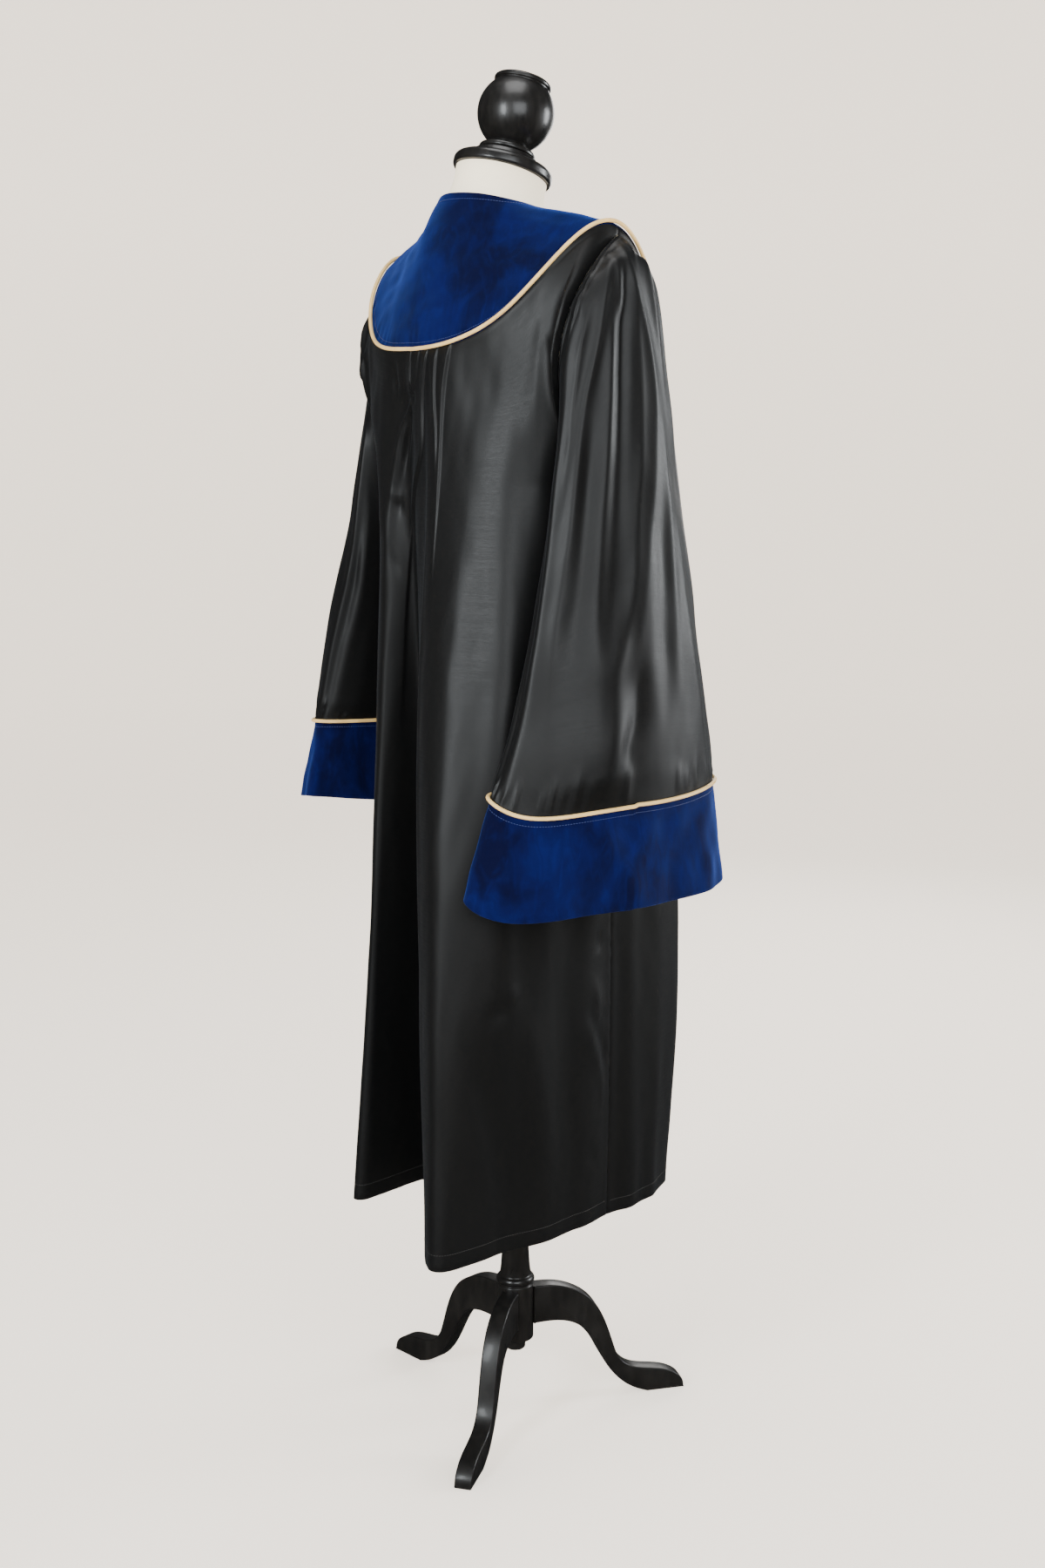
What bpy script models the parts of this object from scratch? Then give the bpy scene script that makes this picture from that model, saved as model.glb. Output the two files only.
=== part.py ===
"""Judicial robe worn by a limbless dress form on a turned tripod stand.

Metres, +Z up. The garment's front looks along -Y, the wearer's left is +X. Every piece is worked
out about the stand's post (x = y = 0) and the whole is then moved so that the middle of its
bounding box stands over the origin.
"""
import math
from collections import namedtuple

import bpy
import numpy as np
from mathutils import Vector

# Walls and clearances: satin for the panels, sleeves and cuffs, faced velvet for the yoke
SATIN = 0.0016
VELVET = 0.0022
SEAM_GAP = 0.0003
SIDE_DRAW = 0.00025
EDGE_GAP = 0.0006
NECK_SLACK = 0.0025

# Levels of the hanging cloth
CHEST_Z = 1.20
WAIST_Z = 0.95
THIGH_Z = 0.65
HEM_Z = 0.31
LEVELS_AT = (0.0, 0.24, 0.45, 0.71, 1.0)

# Neck and yoke
NECK_Y = 0.030
COLLAR_RADIUS = 0.0645
COLLAR_Z = 1.514
COLLAR_RISE = 0.014
YOKE_CROWN = 0.006
LEFT_SHOULDER_DROP = 0.019
ARMHOLE_AT = LEVELS_AT[1]
ARMHOLE_FROM = 0.035
ARMHOLE_BACK = 0.083
ARMHOLE_FRONT = 0.052
ARMHOLE_OUT = 0.008
ARMHOLE_REACH = 1.3

# Trim
PIPING_RADIUS = 0.0023
PIPING_SIDES = 6
PIPING_LIFT = 0.0006
YOKE_PIPING_LIFT = 0.0013
FRONT_SLIT = 0.0045

# Zip
TAPE_HALF = 0.014
TAPE_THICK = 0.0010
TAPE_BEHIND = 0.0012
TAPE_BELOW_NECKLINE = 0.004
TAPE_END_Z = 0.52
SLIDER_SIZE = (0.0080, 0.0034, 0.0120)
PULL_SIZE = (0.0070, 0.0012, 0.0300)
PULL_EYE = 0.0008
PULL_STAND = 0.0012

# Neck block and finial, measured along an axis that leans to the front
LEAN_DEG = 17.0
CAP_CENTRE = (0.0, 0.0175, 1.560)
NECK_TOP_RADIUS = 0.0545
NECK_TO_CAP = 0.0007
BALL_RADIUS = 0.0454
BALL_AT = 0.067
FINIAL_NECK_RADIUS = 0.0320

# Stand
POST_RADIUS = 0.0175
HUB_RADIUS = 0.0235
FORM_FOOT_Z = 0.80
LEG_THICK = 0.022
LEG_DEGREES = {"leg_near": 124.0, "leg_right": 244.0, "leg_left": 4.0}

# Counts of cells
BACK_COLUMNS = ((0.0, 3.3, 11), (3.3, 7.3, 26), (7.3, 12.0, 14))
FRONT_CELLS = 15
UPPER_ROWS = 7
LOWER_ROWS = 9
YOKE_ROWS = 5
SLEEVE_SIDES = 30
SLEEVE_ROWS = 15
CUFF_ROWS = 2
TURNED_SIDES = 24
BALL_SIDES = 20
BALL_STEPS = 7

# Yoke's outer edge: degrees from centre back, distance from the neck's axis and height
Ring = namedtuple("Ring", "deg radius z")
YOKE_RING = (
    Ring(0, 0.120, 1.350),
    Ring(36, 0.134, 1.362),
    Ring(57, 0.155, 1.395),
    Ring(70, 0.171, 1.436),
    Ring(85, 0.183, 1.479),
    Ring(95, 0.190, 1.4855),
    Ring(110, 0.190, 1.455),
    Ring(130, 0.178, 1.415),
    Ring(155, 0.162, 1.368),
    Ring(180, 0.153, 1.350),
)

# Threads of the hanging cloth, from the wearer's right side seam round the back to the left side
# seam and on round the front: where each starts on the yoke and where it passes each level
Thread = namedtuple("Thread", "name deg chest_x chest_y waist_x waist_y thigh_x thigh_y hem_x hem_y")
THREADS = (
    Thread("right side seam", -97, -0.163, 0.000, -0.166, -0.005, -0.168, -0.010, -0.164, -0.010),
    Thread("right flank", -85, -0.166, 0.050, -0.172, 0.060, -0.176, 0.070, -0.172, 0.070),
    Thread("right back", -66, -0.154, 0.096, -0.168, 0.120, -0.178, 0.140, -0.174, 0.150),
    Thread("shoulder blade", -45, -0.112, 0.132, -0.144, 0.166, -0.166, 0.196, -0.174, 0.215),
    Thread("great fold crest", -13, -0.048, 0.158, -0.078, 0.193, -0.116, 0.226, -0.154, 0.254),
    Thread("great fold wall", -5, -0.018, 0.150, -0.028, 0.168, -0.052, 0.190, -0.080, 0.206),
    Thread("valley wall", 3, 0.010, 0.140, 0.018, 0.132, 0.014, 0.136, 0.004, 0.140),
    Thread("valley", 10, 0.034, 0.130, 0.050, 0.108, 0.062, 0.088, 0.070, 0.086),
    Thread("left fold wall", 20, 0.054, 0.138, 0.062, 0.134, 0.068, 0.138, 0.068, 0.152),
    Thread("left fold crest", 36, 0.084, 0.138, 0.084, 0.147, 0.084, 0.165, 0.080, 0.199),
    Thread("left back", 60, 0.128, 0.098, 0.134, 0.100, 0.138, 0.116, 0.134, 0.150),
    Thread("left flank", 82, 0.158, 0.048, 0.166, 0.050, 0.176, 0.060, 0.186, 0.080),
    Thread("left side seam", 97, 0.163, 0.000, 0.168, -0.005, 0.182, -0.010, 0.196, -0.010),
    Thread("left front side", 112, 0.154, -0.052, 0.162, -0.062, 0.176, -0.074, 0.184, -0.082),
    Thread("left chest", 126, 0.128, -0.092, 0.142, -0.106, 0.152, -0.120, 0.158, -0.128),
    Thread("left front fold", 142, 0.092, -0.120, 0.106, -0.142, 0.116, -0.160, 0.118, -0.166),
    Thread("left front hollow", 156, 0.058, -0.128, 0.066, -0.134, 0.076, -0.138, 0.080, -0.136),
    Thread("left of the zip", 170, 0.022, -0.140, 0.026, -0.150, 0.030, -0.160, 0.032, -0.162),
    Thread("centre front", 180, 0.000, -0.142, 0.000, -0.154, 0.000, -0.166, 0.000, -0.168),
    Thread("right of the zip", 190, -0.022, -0.140, -0.026, -0.150, -0.030, -0.160, -0.034, -0.160),
    Thread("right front hollow", 204, -0.056, -0.130, -0.066, -0.136, -0.076, -0.138, -0.080, -0.128),
    Thread("right front fold", 218, -0.090, -0.122, -0.108, -0.144, -0.122, -0.158, -0.120, -0.144),
    Thread("right chest", 234, -0.126, -0.094, -0.140, -0.110, -0.148, -0.124, -0.146, -0.112),
    Thread("right front side", 248, -0.152, -0.054, -0.160, -0.062, -0.162, -0.070, -0.158, -0.070),
)
LEFT_SEAM_AT = 12.0
CENTRE_FRONT_AT = 18.0

# Folds laid over the threads: place on the yoke and at the low end, in threads
Fold = namedtuple("Fold", "name top low begins ends width height")
BACK_FOLDS = (
    Fold("pleat 1", 6.60, 7.05, 0.010, 0.22, 0.30, 0.0060),
    Fold("pleat 2", 5.75, 6.05, 0.010, 0.20, 0.28, 0.0056),
    Fold("pleat 3", 4.95, 5.00, 0.010, 0.22, 0.28, 0.0060),
    Fold("pleat 4", 4.15, 3.85, 0.010, 0.28, 0.28, 0.0062),
    Fold("pleat 5", 3.60, 3.30, 0.010, 0.24, 0.24, 0.0052),
    Fold("blade fold", 2.70, 2.45, 0.10, 0.85, 0.42, 0.0060),
    Fold("flank fold", 1.55, 1.45, 0.30, 0.98, 0.36, 0.0050),
    Fold("side fold", 0.50, 0.55, 0.42, 0.99, 0.30, 0.0046),
    Fold("left blade fold", 9.90, 9.80, 0.06, 0.70, 0.36, 0.0050),
)

# Sleeves: four lines each, outer, back, inner and front, at rising distance from the armhole
Section = namedtuple("Section", "at ox oy oz bx by bz ix iy iz fx fy fz dip")
RIGHT_SLEEVE = (
    Section(0.08, -0.212, 0.010, 1.454, -0.189, 0.093, 1.305, -0.173, 0.012, 1.168, -0.192, -0.044, 1.310, 0),
    Section(0.22, -0.227, 0.012, 1.385, -0.193, 0.103, 1.225, -0.178, 0.018, 1.105, -0.199, -0.052, 1.225, 0),
    Section(0.45, -0.246, 0.016, 1.215, -0.197, 0.128, 1.090, -0.184, 0.030, 1.010, -0.205, -0.074, 1.080, 0),
    Section(0.72, -0.264, 0.032, 1.01, -0.199, 0.158, 0.965, -0.191, 0.045, 0.92, -0.21, -0.106, 0.955, .004),
    Section(1.00, -0.274, 0.055, 0.847, -0.192, 0.194, 0.861, -0.198, 0.04, 0.855, -0.213, -0.128, 0.85, .016),
)
RIGHT_RIM = Section(
    1.00, -0.284, 0.070, 0.732, -0.197, 0.234, 0.750, -0.201, 0.050, 0.742, -0.231, -0.129, 0.732, 0.016)
LEFT_SLEEVE = (
    Section(0.08, 0.198, 0.010, 1.412, 0.187, 0.082, 1.285, 0.173, 0.010, 1.160, 0.191, -0.052, 1.290, 0.0),
    Section(0.22, 0.212, 0.008, 1.335, 0.193, 0.088, 1.205, 0.178, 0.008, 1.105, 0.198, -0.064, 1.205, 0.0),
    Section(0.45, 0.240, 0.004, 1.205, 0.204, 0.098, 1.100, 0.186, 0.004, 1.030, 0.204, -0.088, 1.090, 0.0),
    Section(0.72, 0.268, 0.006, 1.045, 0.224, 0.112, 1.000, 0.196, 0.000, 0.955, 0.208, -0.120, 0.975, 0.0),
    Section(1.00, 0.284, 0.012, 0.892, 0.240, 0.128, 0.892, 0.206, 0.000, 0.885, 0.216, -0.146, 0.872, 0.006),
)
LEFT_RIM = Section(
    1.00, 0.294, 0.014, 0.780, 0.250, 0.142, 0.795, 0.208, 0.000, 0.775, 0.222, -0.160, 0.758, 0.006)
DIP_TURN = 52.0
DIP_SPREAD = 34.0

# Folds of a sleeve: turn in degrees from its outer line towards the back, negative towards the front
RIGHT_FOLDS = (
    Fold("gather 1", 52, 60, 0.01, 0.40, 7.0, 0.0060),
    Fold("gather 2", 34, 40, 0.01, 0.70, 7.0, 0.0070),
    Fold("gather 3", 16, 24, 0.01, 0.45, 6.0, 0.0060),
    Fold("gather 4", 0, 2, 0.01, 0.55, 6.5, 0.0065),
    Fold("gather 5", -16, -14, 0.01, 0.88, 7.5, 0.0085),
    Fold("gather 6", -34, -40, 0.01, 0.40, 7.0, 0.0050),
    Fold("long back fold", 60, 46, 0.20, 0.97, 10.0, 0.0080),
    Fold("long middle fold", 24, 22, 0.22, 0.95, 8.0, 0.0070),
    Fold("long front fold", -44, -40, 0.35, 0.99, 9.0, 0.0060),
    Fold("inner fold", 170, 165, 0.45, 0.98, 14.0, 0.0040),
)
LEFT_FOLDS = (
    Fold("gather 1", 48, 56, 0.01, 0.45, 7.0, 0.0060),
    Fold("gather 2", 30, 36, 0.01, 0.60, 7.0, 0.0065),
    Fold("gather 3", 12, 16, 0.01, 0.45, 6.5, 0.0060),
    Fold("gather 4", -6, -8, 0.01, 0.75, 7.0, 0.0070),
    Fold("gather 5", -26, -30, 0.01, 0.50, 7.0, 0.0055),
    Fold("long back fold", 66, 60, 0.20, 0.97, 10.0, 0.0060),
    Fold("long middle fold", 20, 14, 0.25, 0.95, 9.0, 0.0070),
    Fold("long front fold", -50, -44, 0.35, 0.99, 9.0, 0.0060),
    Fold("inner fold", 175, 168, 0.45, 0.98, 14.0, 0.0040),
)

# Dress form below the shoulders
Girth = namedtuple("Girth", "z half_width half_depth centre_y")
FORM_GIRTHS = (
    Girth(1.335, 0.150, 0.104, 0.020),
    Girth(1.240, 0.137, 0.100, 0.012),
    Girth(1.120, 0.118, 0.086, 0.008),
    Girth(1.000, 0.124, 0.086, 0.006),
    Girth(0.900, 0.134, 0.090, 0.004),
    Girth(0.815, 0.130, 0.086, 0.004),
)
FORM_FOOT_SHRINK = 0.93

# Turned profiles: radius, then distance along the axis, from the low end to the top
Turn = namedtuple("Turn", "radius along")
CAP_PROFILE = (Turn(0.0575, -0.0085), Turn(0.0590, -0.0060), Turn(0.0590, 0.0010), Turn(0.0565, 0.0050),
               Turn(0.0440, 0.0085), Turn(0.0400, 0.0100), Turn(0.0385, 0.0145), Turn(0.0340, 0.0165))
FINIAL_FOOT = (Turn(0.0300, 0.0), Turn(0.0335, 0.002), Turn(0.0335, 0.006), Turn(0.0230, 0.009))
FINIAL_DISC = (Turn(0.0338, 0.002), Turn(0.0338, 0.006), Turn(0.0310, 0.0085), Turn(0.0200, 0.0100))
POST_PROFILE = (Turn(0.0120, 0.079), Turn(0.0130, 0.081), Turn(0.0130, 0.0935), Turn(HUB_RADIUS, 0.0940),
                Turn(HUB_RADIUS, 0.1680), Turn(0.0215, 0.1695), Turn(0.0245, 0.1725), Turn(0.0250, 0.1755),
                Turn(0.0235, 0.1790), Turn(0.0205, 0.1815), Turn(0.0190, 0.1900), Turn(0.0172, 0.2150),
                Turn(POST_RADIUS, 0.3600))
LEG_OUTLINE = ((0.0000, 0.1640), (0.0300, 0.1625), (0.0560, 0.1540), (0.0760, 0.1400), (0.0900, 0.1210),
               (0.1000, 0.0980), (0.1085, 0.0720), (0.1170, 0.0520), (0.1300, 0.0400), (0.1480, 0.0340),
               (0.1720, 0.0300), (0.1920, 0.0230), (0.2050, 0.0100), (0.2065, 0.0000), (0.1560, 0.0000),
               (0.1360, 0.0080), (0.1180, 0.0210), (0.1020, 0.0400), (0.0880, 0.0640), (0.0760, 0.0860),
               (0.0620, 0.1030), (0.0420, 0.1120), (0.0200, 0.1140), (0.0000, 0.1130))

Finish = namedtuple("Finish", "colour roughness metallic")
FINISHES = {
    "black_satin": Finish((0.012, 0.014, 0.017), 0.34, 0.0),
    "blue_velvet": Finish((0.004, 0.020, 0.210), 0.85, 0.0),
    "gold_piping": Finish((0.620, 0.430, 0.180), 0.45, 0.0),
    "cream_jersey": Finish((0.800, 0.740, 0.620), 0.90, 0.0),
    "black_lacquer": Finish((0.014, 0.014, 0.014), 0.30, 0.0),
    "zip_tape": Finish((0.015, 0.015, 0.016), 0.80, 0.0),
    "zip_metal": Finish((0.300, 0.250, 0.160), 0.35, 1.0),
}
PIECE_FINISHES = {
    "back_panel": "black_satin", "front_right": "black_satin", "front_left": "black_satin",
    "sleeve_right": "black_satin", "sleeve_left": "black_satin", "cuff_right": "blue_velvet",
    "cuff_left": "blue_velvet", "yoke": "blue_velvet", "yoke_piping": "gold_piping",
    "cuff_piping_right": "gold_piping", "cuff_piping_left": "gold_piping", "zip_tape": "zip_tape",
    "zip_slider": "zip_metal", "zip_pull": "zip_metal", "form_torso": "cream_jersey",
    "neck_cap": "black_lacquer", "finial": "black_lacquer", "stand_post": "black_lacquer",
    "leg_near": "black_lacquer", "leg_right": "black_lacquer", "leg_left": "black_lacquer",
}


def spline(knots, values, at):
    """Read the natural cubic spline through values (n, ...) at rising knots, at the given places."""
    knots = np.asarray(knots, float)
    values = np.asarray(values, float)
    flat = values.reshape(len(knots), -1)
    steps = np.diff(knots)
    system = np.eye(len(knots))
    right = np.zeros_like(flat)
    for i in range(1, len(knots) - 1):
        system[i, i - 1:i + 2] = steps[i - 1], 2 * (steps[i - 1] + steps[i]), steps[i]
        rise = (flat[i + 1] - flat[i]) / steps[i] - (flat[i] - flat[i - 1]) / steps[i - 1]
        right[i] = 6 * rise
    bend = np.linalg.solve(system, right)
    at = np.atleast_1d(np.asarray(at, float))
    cell = np.clip(np.searchsorted(knots, at, side="right") - 1, 0, len(knots) - 2)
    width = steps[cell][:, None]
    b = (at - knots[cell])[:, None] / width
    a = 1 - b
    curve = a * flat[cell] + b * flat[cell + 1]
    curve += ((a ** 3 - a) * bend[cell] + (b ** 3 - b) * bend[cell + 1]) * width ** 2 / 6
    return curve.reshape((len(at),) + values.shape[1:])


def round_spline(values, at):
    """Read the closed cubic spline through values, one knot a step, at the given places."""
    count = len(values)
    wrap = 4
    index = np.arange(-wrap, count + wrap)
    return spline(index, np.asarray(values)[index % count], np.mod(at, count))


def unit(vectors):
    """Scale vectors to length one."""
    return vectors / np.linalg.norm(vectors, axis=-1, keepdims=True)


def smooth(low, high, value):
    """Rise softly from 0 at low to 1 at high."""
    t = np.clip((value - low) / (high - low), 0, 1)
    return t * t * (3 - 2 * t)


def grid_normals(grid, closed):
    """Work out a unit normal at each point of a grid (rows, columns, 3), closed across the columns."""
    down = np.gradient(grid, axis=0)
    if closed:
        across = (np.roll(grid, -1, axis=1) - np.roll(grid, 1, axis=1)) / 2
    else:
        across = np.gradient(grid, axis=1)
    return unit(np.cross(down, across))


def facing(normals, grid, centre):
    """Turn the normals so that most of them look away from the centre."""
    away = np.sum(normals * (grid - np.asarray(centre)), axis=-1)
    return normals if np.sum(away) > 0 else -normals


def ring_curve(deg):
    """Give the yoke's outer edge at angles measured from centre back, positive to the left."""
    deg = np.atleast_1d(np.asarray(deg, float))
    folded = np.abs((deg + 180) % 360 - 180)
    rows = YOKE_RING
    table = [(-r.deg, r.radius, r.z) for r in rows[2:0:-1]]
    table += [(r.deg, r.radius, r.z) for r in rows]
    table += [(360 - r.deg, r.radius, r.z) for r in rows[-2:-4:-1]]
    table = np.array(table)
    radius, height = spline(table[:, 0], table[:, 1:], folded).T
    turn = np.radians(deg)
    height = height - LEFT_SHOULDER_DROP * np.clip(np.sin(turn), 0, 1) ** 2
    return np.stack([radius * np.sin(turn), NECK_Y + radius * np.cos(turn), height], -1)


def yoke_surface(deg, q):
    """Give the yoke's outer face: q runs from 0 at the neckline to 1 at the piped edge."""
    deg = np.asarray(deg, float)
    turn = np.radians(deg)
    top = np.stack([COLLAR_RADIUS * np.sin(turn), NECK_Y + COLLAR_RADIUS * np.cos(turn),
                    COLLAR_Z + COLLAR_RISE * np.cos(turn)], -1)
    low = ring_curve(deg)
    q = np.asarray(q, float)[:, None, None]
    flat = top * (1 - q) + low * q
    crown = YOKE_CROWN * 4 * q * (1 - q)
    lift = np.stack([np.sin(turn), np.cos(turn), 0.6 + 0 * turn], -1)
    return flat + crown * lift * (0.35 + 0.65 * np.abs(np.cos(turn)))[:, None]


def seam_normals(deg):
    """Give the normal that the yoke and the panels share along their seam."""
    turn = np.radians(np.asarray(deg, float))
    tilt = 0.35 + 0.75 * np.sin(turn) ** 2
    return unit(np.stack([np.sin(turn), np.cos(turn), tilt], -1))


def fold_profile(distance, width, knife=False):
    """Give a rounded ridge; a knife pleat falls away faster on its far side."""
    widths = np.where(distance > 0, 0.45 * width, width) if knife else width
    return np.exp(-(distance / widths) ** 2)


def folds_on(folds, across, along, knife_word="pleat", turn=None):
    """Add up the folds' heights on a grid of places across and along the cloth."""
    height = np.zeros(np.broadcast(across, along).shape)
    for fold in folds:
        share = np.clip((along - fold.begins) / (fold.ends - fold.begins), 0, 1)
        centre = fold.top + (fold.low - fold.top) * share
        distance = across - centre
        if turn:
            distance = (distance + turn / 2) % turn - turn / 2
        rise = smooth(fold.begins, fold.begins + 0.06, along) * (1 - smooth(0.72, 1.0, share))
        height += fold.height * rise * fold_profile(distance, fold.width, fold.name.startswith(knife_word))
    return height


def body_surface(across, along):
    """Give the hanging cloth: across counts threads, along runs from 0 at the yoke to 1 at the hem."""
    levels = []
    degrees = round_degrees(across)
    levels.append(ring_curve(degrees))
    for level, z in (("chest", CHEST_Z), ("waist", WAIST_Z), ("thigh", THIGH_Z), ("hem", HEM_Z)):
        places = [(getattr(t, level + "_x"), getattr(t, level + "_y"), z) for t in THREADS]
        levels.append(round_spline(np.array(places), across))
    cloth = spline(LEVELS_AT, np.array(levels), along)
    cloth[..., 2] = np.minimum(cloth[..., 2], levels[0][:, 2])
    for seam, side in ((0.0, -1.0), (LEFT_SEAM_AT, 1.0), (float(len(THREADS)), -1.0)):
        share = np.clip((np.asarray(along) / ARMHOLE_AT - ARMHOLE_FROM) / (1 - ARMHOLE_FROM), 0, 1)
        bow = np.sin(math.pi * share)[:, None] ** 0.8
        gap = (across - seam)[None, :]
        near = np.exp(-(gap / ARMHOLE_REACH) ** 2)
        behind = gap < 0 if side > 0 else gap >= 0
        if seam > LEFT_SEAM_AT:
            behind = np.zeros_like(gap, bool)
        reach = np.where(behind, ARMHOLE_BACK, -ARMHOLE_FRONT)
        cloth[..., 1] += bow * near * reach
        cloth[..., 0] += bow * near * side * ARMHOLE_OUT
    return cloth


def round_degrees(across):
    """Give where on the yoke's edge each thread starts, in degrees from centre back."""
    degrees = [t.deg for t in THREADS] + [THREADS[0].deg + 360]
    return np.interp(across, np.arange(len(degrees)), degrees)


def along_rows():
    """Give the rows of the body panels, closer together above the underarm."""
    upper = np.linspace(0, ARMHOLE_AT, UPPER_ROWS + 1)
    lower = np.linspace(ARMHOLE_AT, 1, LOWER_ROWS + 1)
    return np.concatenate([upper, lower[1:]])


def panel(across, folds, seam_ends):
    """Build one body panel: outer and inner points, parted from the yoke and at its side seam.

    seam_ends names, for the first and last column, how far it draws back from the shared seam.
    """
    along = along_rows()
    outer = body_surface(across, along)
    normals = facing(grid_normals(outer, False), outer, (0, 0.02, 0.8))
    height = folds_on(folds, across[None, :], along[:, None])
    outer = outer + normals * height[..., None]
    normals = facing(grid_normals(outer, False), outer, (0, 0.02, 0.8))
    normals[0] = seam_normals(round_degrees(across))
    outer[0] = outer[0] + unit(outer[1] - outer[0]) * EDGE_GAP
    for column, draw in zip((0, -1), seam_ends):
        inward = unit(outer[:, 1] - outer[:, 0]) if column == 0 else unit(outer[:, -2] - outer[:, -1])
        outer[:, column] += inward * draw
    return outer, outer - normals * SATIN


def armhole_ring(side, turns):
    """Give the sleeve's first ring: the body panels' armhole edge, read all round.

    A turn of 0 is at the shoulder, 90 at the back, 180 under the arm and 270 at the front.
    """
    share = np.where(turns <= 180, turns, 360 - turns) / 180
    share = (ARMHOLE_FROM + (1 - ARMHOLE_FROM) * share) * ARMHOLE_AT
    back_seam = 0.0 if side < 0 else LEFT_SEAM_AT - 1e-6
    front_seam = len(THREADS) - 1e-6 if side < 0 else LEFT_SEAM_AT
    rows = np.sort(np.unique(np.round(share, 9)))
    back = body_surface(np.array([back_seam]), rows)[:, 0]
    front = body_surface(np.array([front_seam]), rows)[:, 0]
    place = np.searchsorted(rows, np.round(share, 9))
    return np.where((turns <= 180)[:, None], back[place], front[place])


def section_ring(section, turns):
    """Run a smooth ring through a section's outer, back, inner and front points."""
    outer = np.array(section[1:4])
    back = np.array(section[4:7])
    inner = np.array(section[7:10])
    front = np.array(section[10:13])
    angle = np.radians(turns)[:, None]
    middle = (outer + back + inner + front) / 4
    squash = (outer + inner - back - front) / 4
    across = (outer - inner) / 2
    length = (back - front) / 2
    ring = middle + across * np.cos(angle) + length * np.sin(angle) + squash * np.cos(2 * angle)
    ring[:, 2] -= section.dip * np.exp(-((turns - DIP_TURN) / DIP_SPREAD) ** 2)
    return ring


def sleeve_grid(side, sections, folds):
    """Give a sleeve's outer points and normals, from the armhole down to the cuff seam."""
    turns = np.arange(SLEEVE_SIDES) * 360.0 / SLEEVE_SIDES
    first = armhole_ring(side, turns)
    first[:, 0] += side * 2 * SEAM_GAP
    rings = [first] + [section_ring(s, turns) for s in sections]
    places = [0.0] + [s.at for s in sections]
    along = np.linspace(0, 1, SLEEVE_ROWS + 1) ** 1.25
    grid = spline(places, np.array(rings), along)
    centre = grid.mean(axis=1, keepdims=True)
    normals = facing(grid_normals(grid, True), grid, centre)
    height = folds_on(folds, turns[None, :], along[:, None], turn=360.0)
    grid = grid + normals * height[..., None]
    normals = facing(grid_normals(grid, True), grid, centre)
    radial = unit((grid[0] - centre[0]) * np.array((0.0, 1.0, 1.0)))
    normals[0] = radial
    return turns, grid, normals


def cuff_grid(sleeve, normals, rim, turns):
    """Give a cuff's outer points and normals, from just below the sleeve down to the rim."""
    low = section_ring(rim, turns)
    top = sleeve[-1] + unit(low - sleeve[-1]) * EDGE_GAP
    share = np.linspace(0, 1, CUFF_ROWS + 1)[:, None, None]
    grid = top * (1 - share) + low * share
    centre = grid.mean(axis=1, keepdims=True)
    face = facing(grid_normals(grid, True), grid, centre)
    face[0] = normals[-1]
    return grid, face


def wall(name, outer, inner, closed):
    """Close a wall between two like grids and return it as a named piece."""
    rows, columns = outer.shape[:2]
    points = np.concatenate([outer.reshape(-1, 3), inner.reshape(-1, 3)])
    index = np.arange(rows * columns).reshape(rows, columns)
    shift = rows * columns
    faces = []
    last = columns if closed else columns - 1
    for i in range(rows - 1):
        for j in range(last):
            k = (j + 1) % columns
            quad = (index[i, j], index[i, k], index[i + 1, k], index[i + 1, j])
            faces.append(quad)
            faces.append(tuple(shift + corner for corner in reversed(quad)))
    for j in range(last):
        k = (j + 1) % columns
        faces.append((index[0, k], index[0, j], shift + index[0, j], shift + index[0, k]))
        faces.append((index[-1, j], index[-1, k], shift + index[-1, k], shift + index[-1, j]))
    if not closed:
        for i in range(rows - 1):
            faces.append((index[i, 0], index[i + 1, 0], shift + index[i + 1, 0], shift + index[i, 0]))
            faces.append((index[i + 1, -1], index[i, -1], shift + index[i, -1], shift + index[i + 1, -1]))
    return outward(name, points, faces)


def outward(name, points, faces):
    """Turn every face of a piece over where its signed volume is negative."""
    volume = 0.0
    for face in faces:
        first = points[face[0]]
        for second, third in zip(face[1:-1], face[2:]):
            volume += np.dot(first, np.cross(points[second], points[third]))
    if volume < 0:
        faces = [tuple(reversed(face)) for face in faces]
    return name, points, faces


def rings_solid(name, rings):
    """Close a stack of like rings with a flat fan at each end."""
    rows, columns = rings.shape[:2]
    ends = np.stack([rings[0].mean(axis=0), rings[-1].mean(axis=0)])
    points = np.concatenate([rings.reshape(-1, 3), ends])
    faces = []
    for i in range(rows - 1):
        for j in range(columns):
            k = (j + 1) % columns
            faces.append((i * columns + j, i * columns + k, (i + 1) * columns + k, (i + 1) * columns + j))
    base = (rows - 1) * columns
    for j in range(columns):
        k = (j + 1) % columns
        faces.append((rows * columns, k, j))
        faces.append((rows * columns + 1, base + j, base + k))
    return outward(name, points, faces)


def tube(name, path, normals, radius, sides, closed):
    """Sweep a round cord along a path whose normals give its upright."""
    if closed:
        ahead = np.roll(path, -1, axis=0) - np.roll(path, 1, axis=0)
    else:
        ahead = np.gradient(path, axis=0)
    ahead = unit(ahead)
    aside = unit(np.cross(ahead, normals))
    up = np.cross(aside, ahead)
    angle = (np.arange(sides) + 0.5) * 2 * math.pi / sides
    circle = aside[:, None] * np.cos(angle)[None, :, None] + up[:, None] * np.sin(angle)[None, :, None]
    rings = path[:, None] + radius * circle
    if not closed:
        return rings_solid(name, rings)
    count = len(path)
    faces = []
    for i in range(count):
        for j in range(sides):
            a, b = (i + 1) % count, (j + 1) % sides
            faces.append((i * sides + j, i * sides + b, a * sides + b, a * sides + j))
    return outward(name, rings.reshape(-1, 3), faces)


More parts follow.
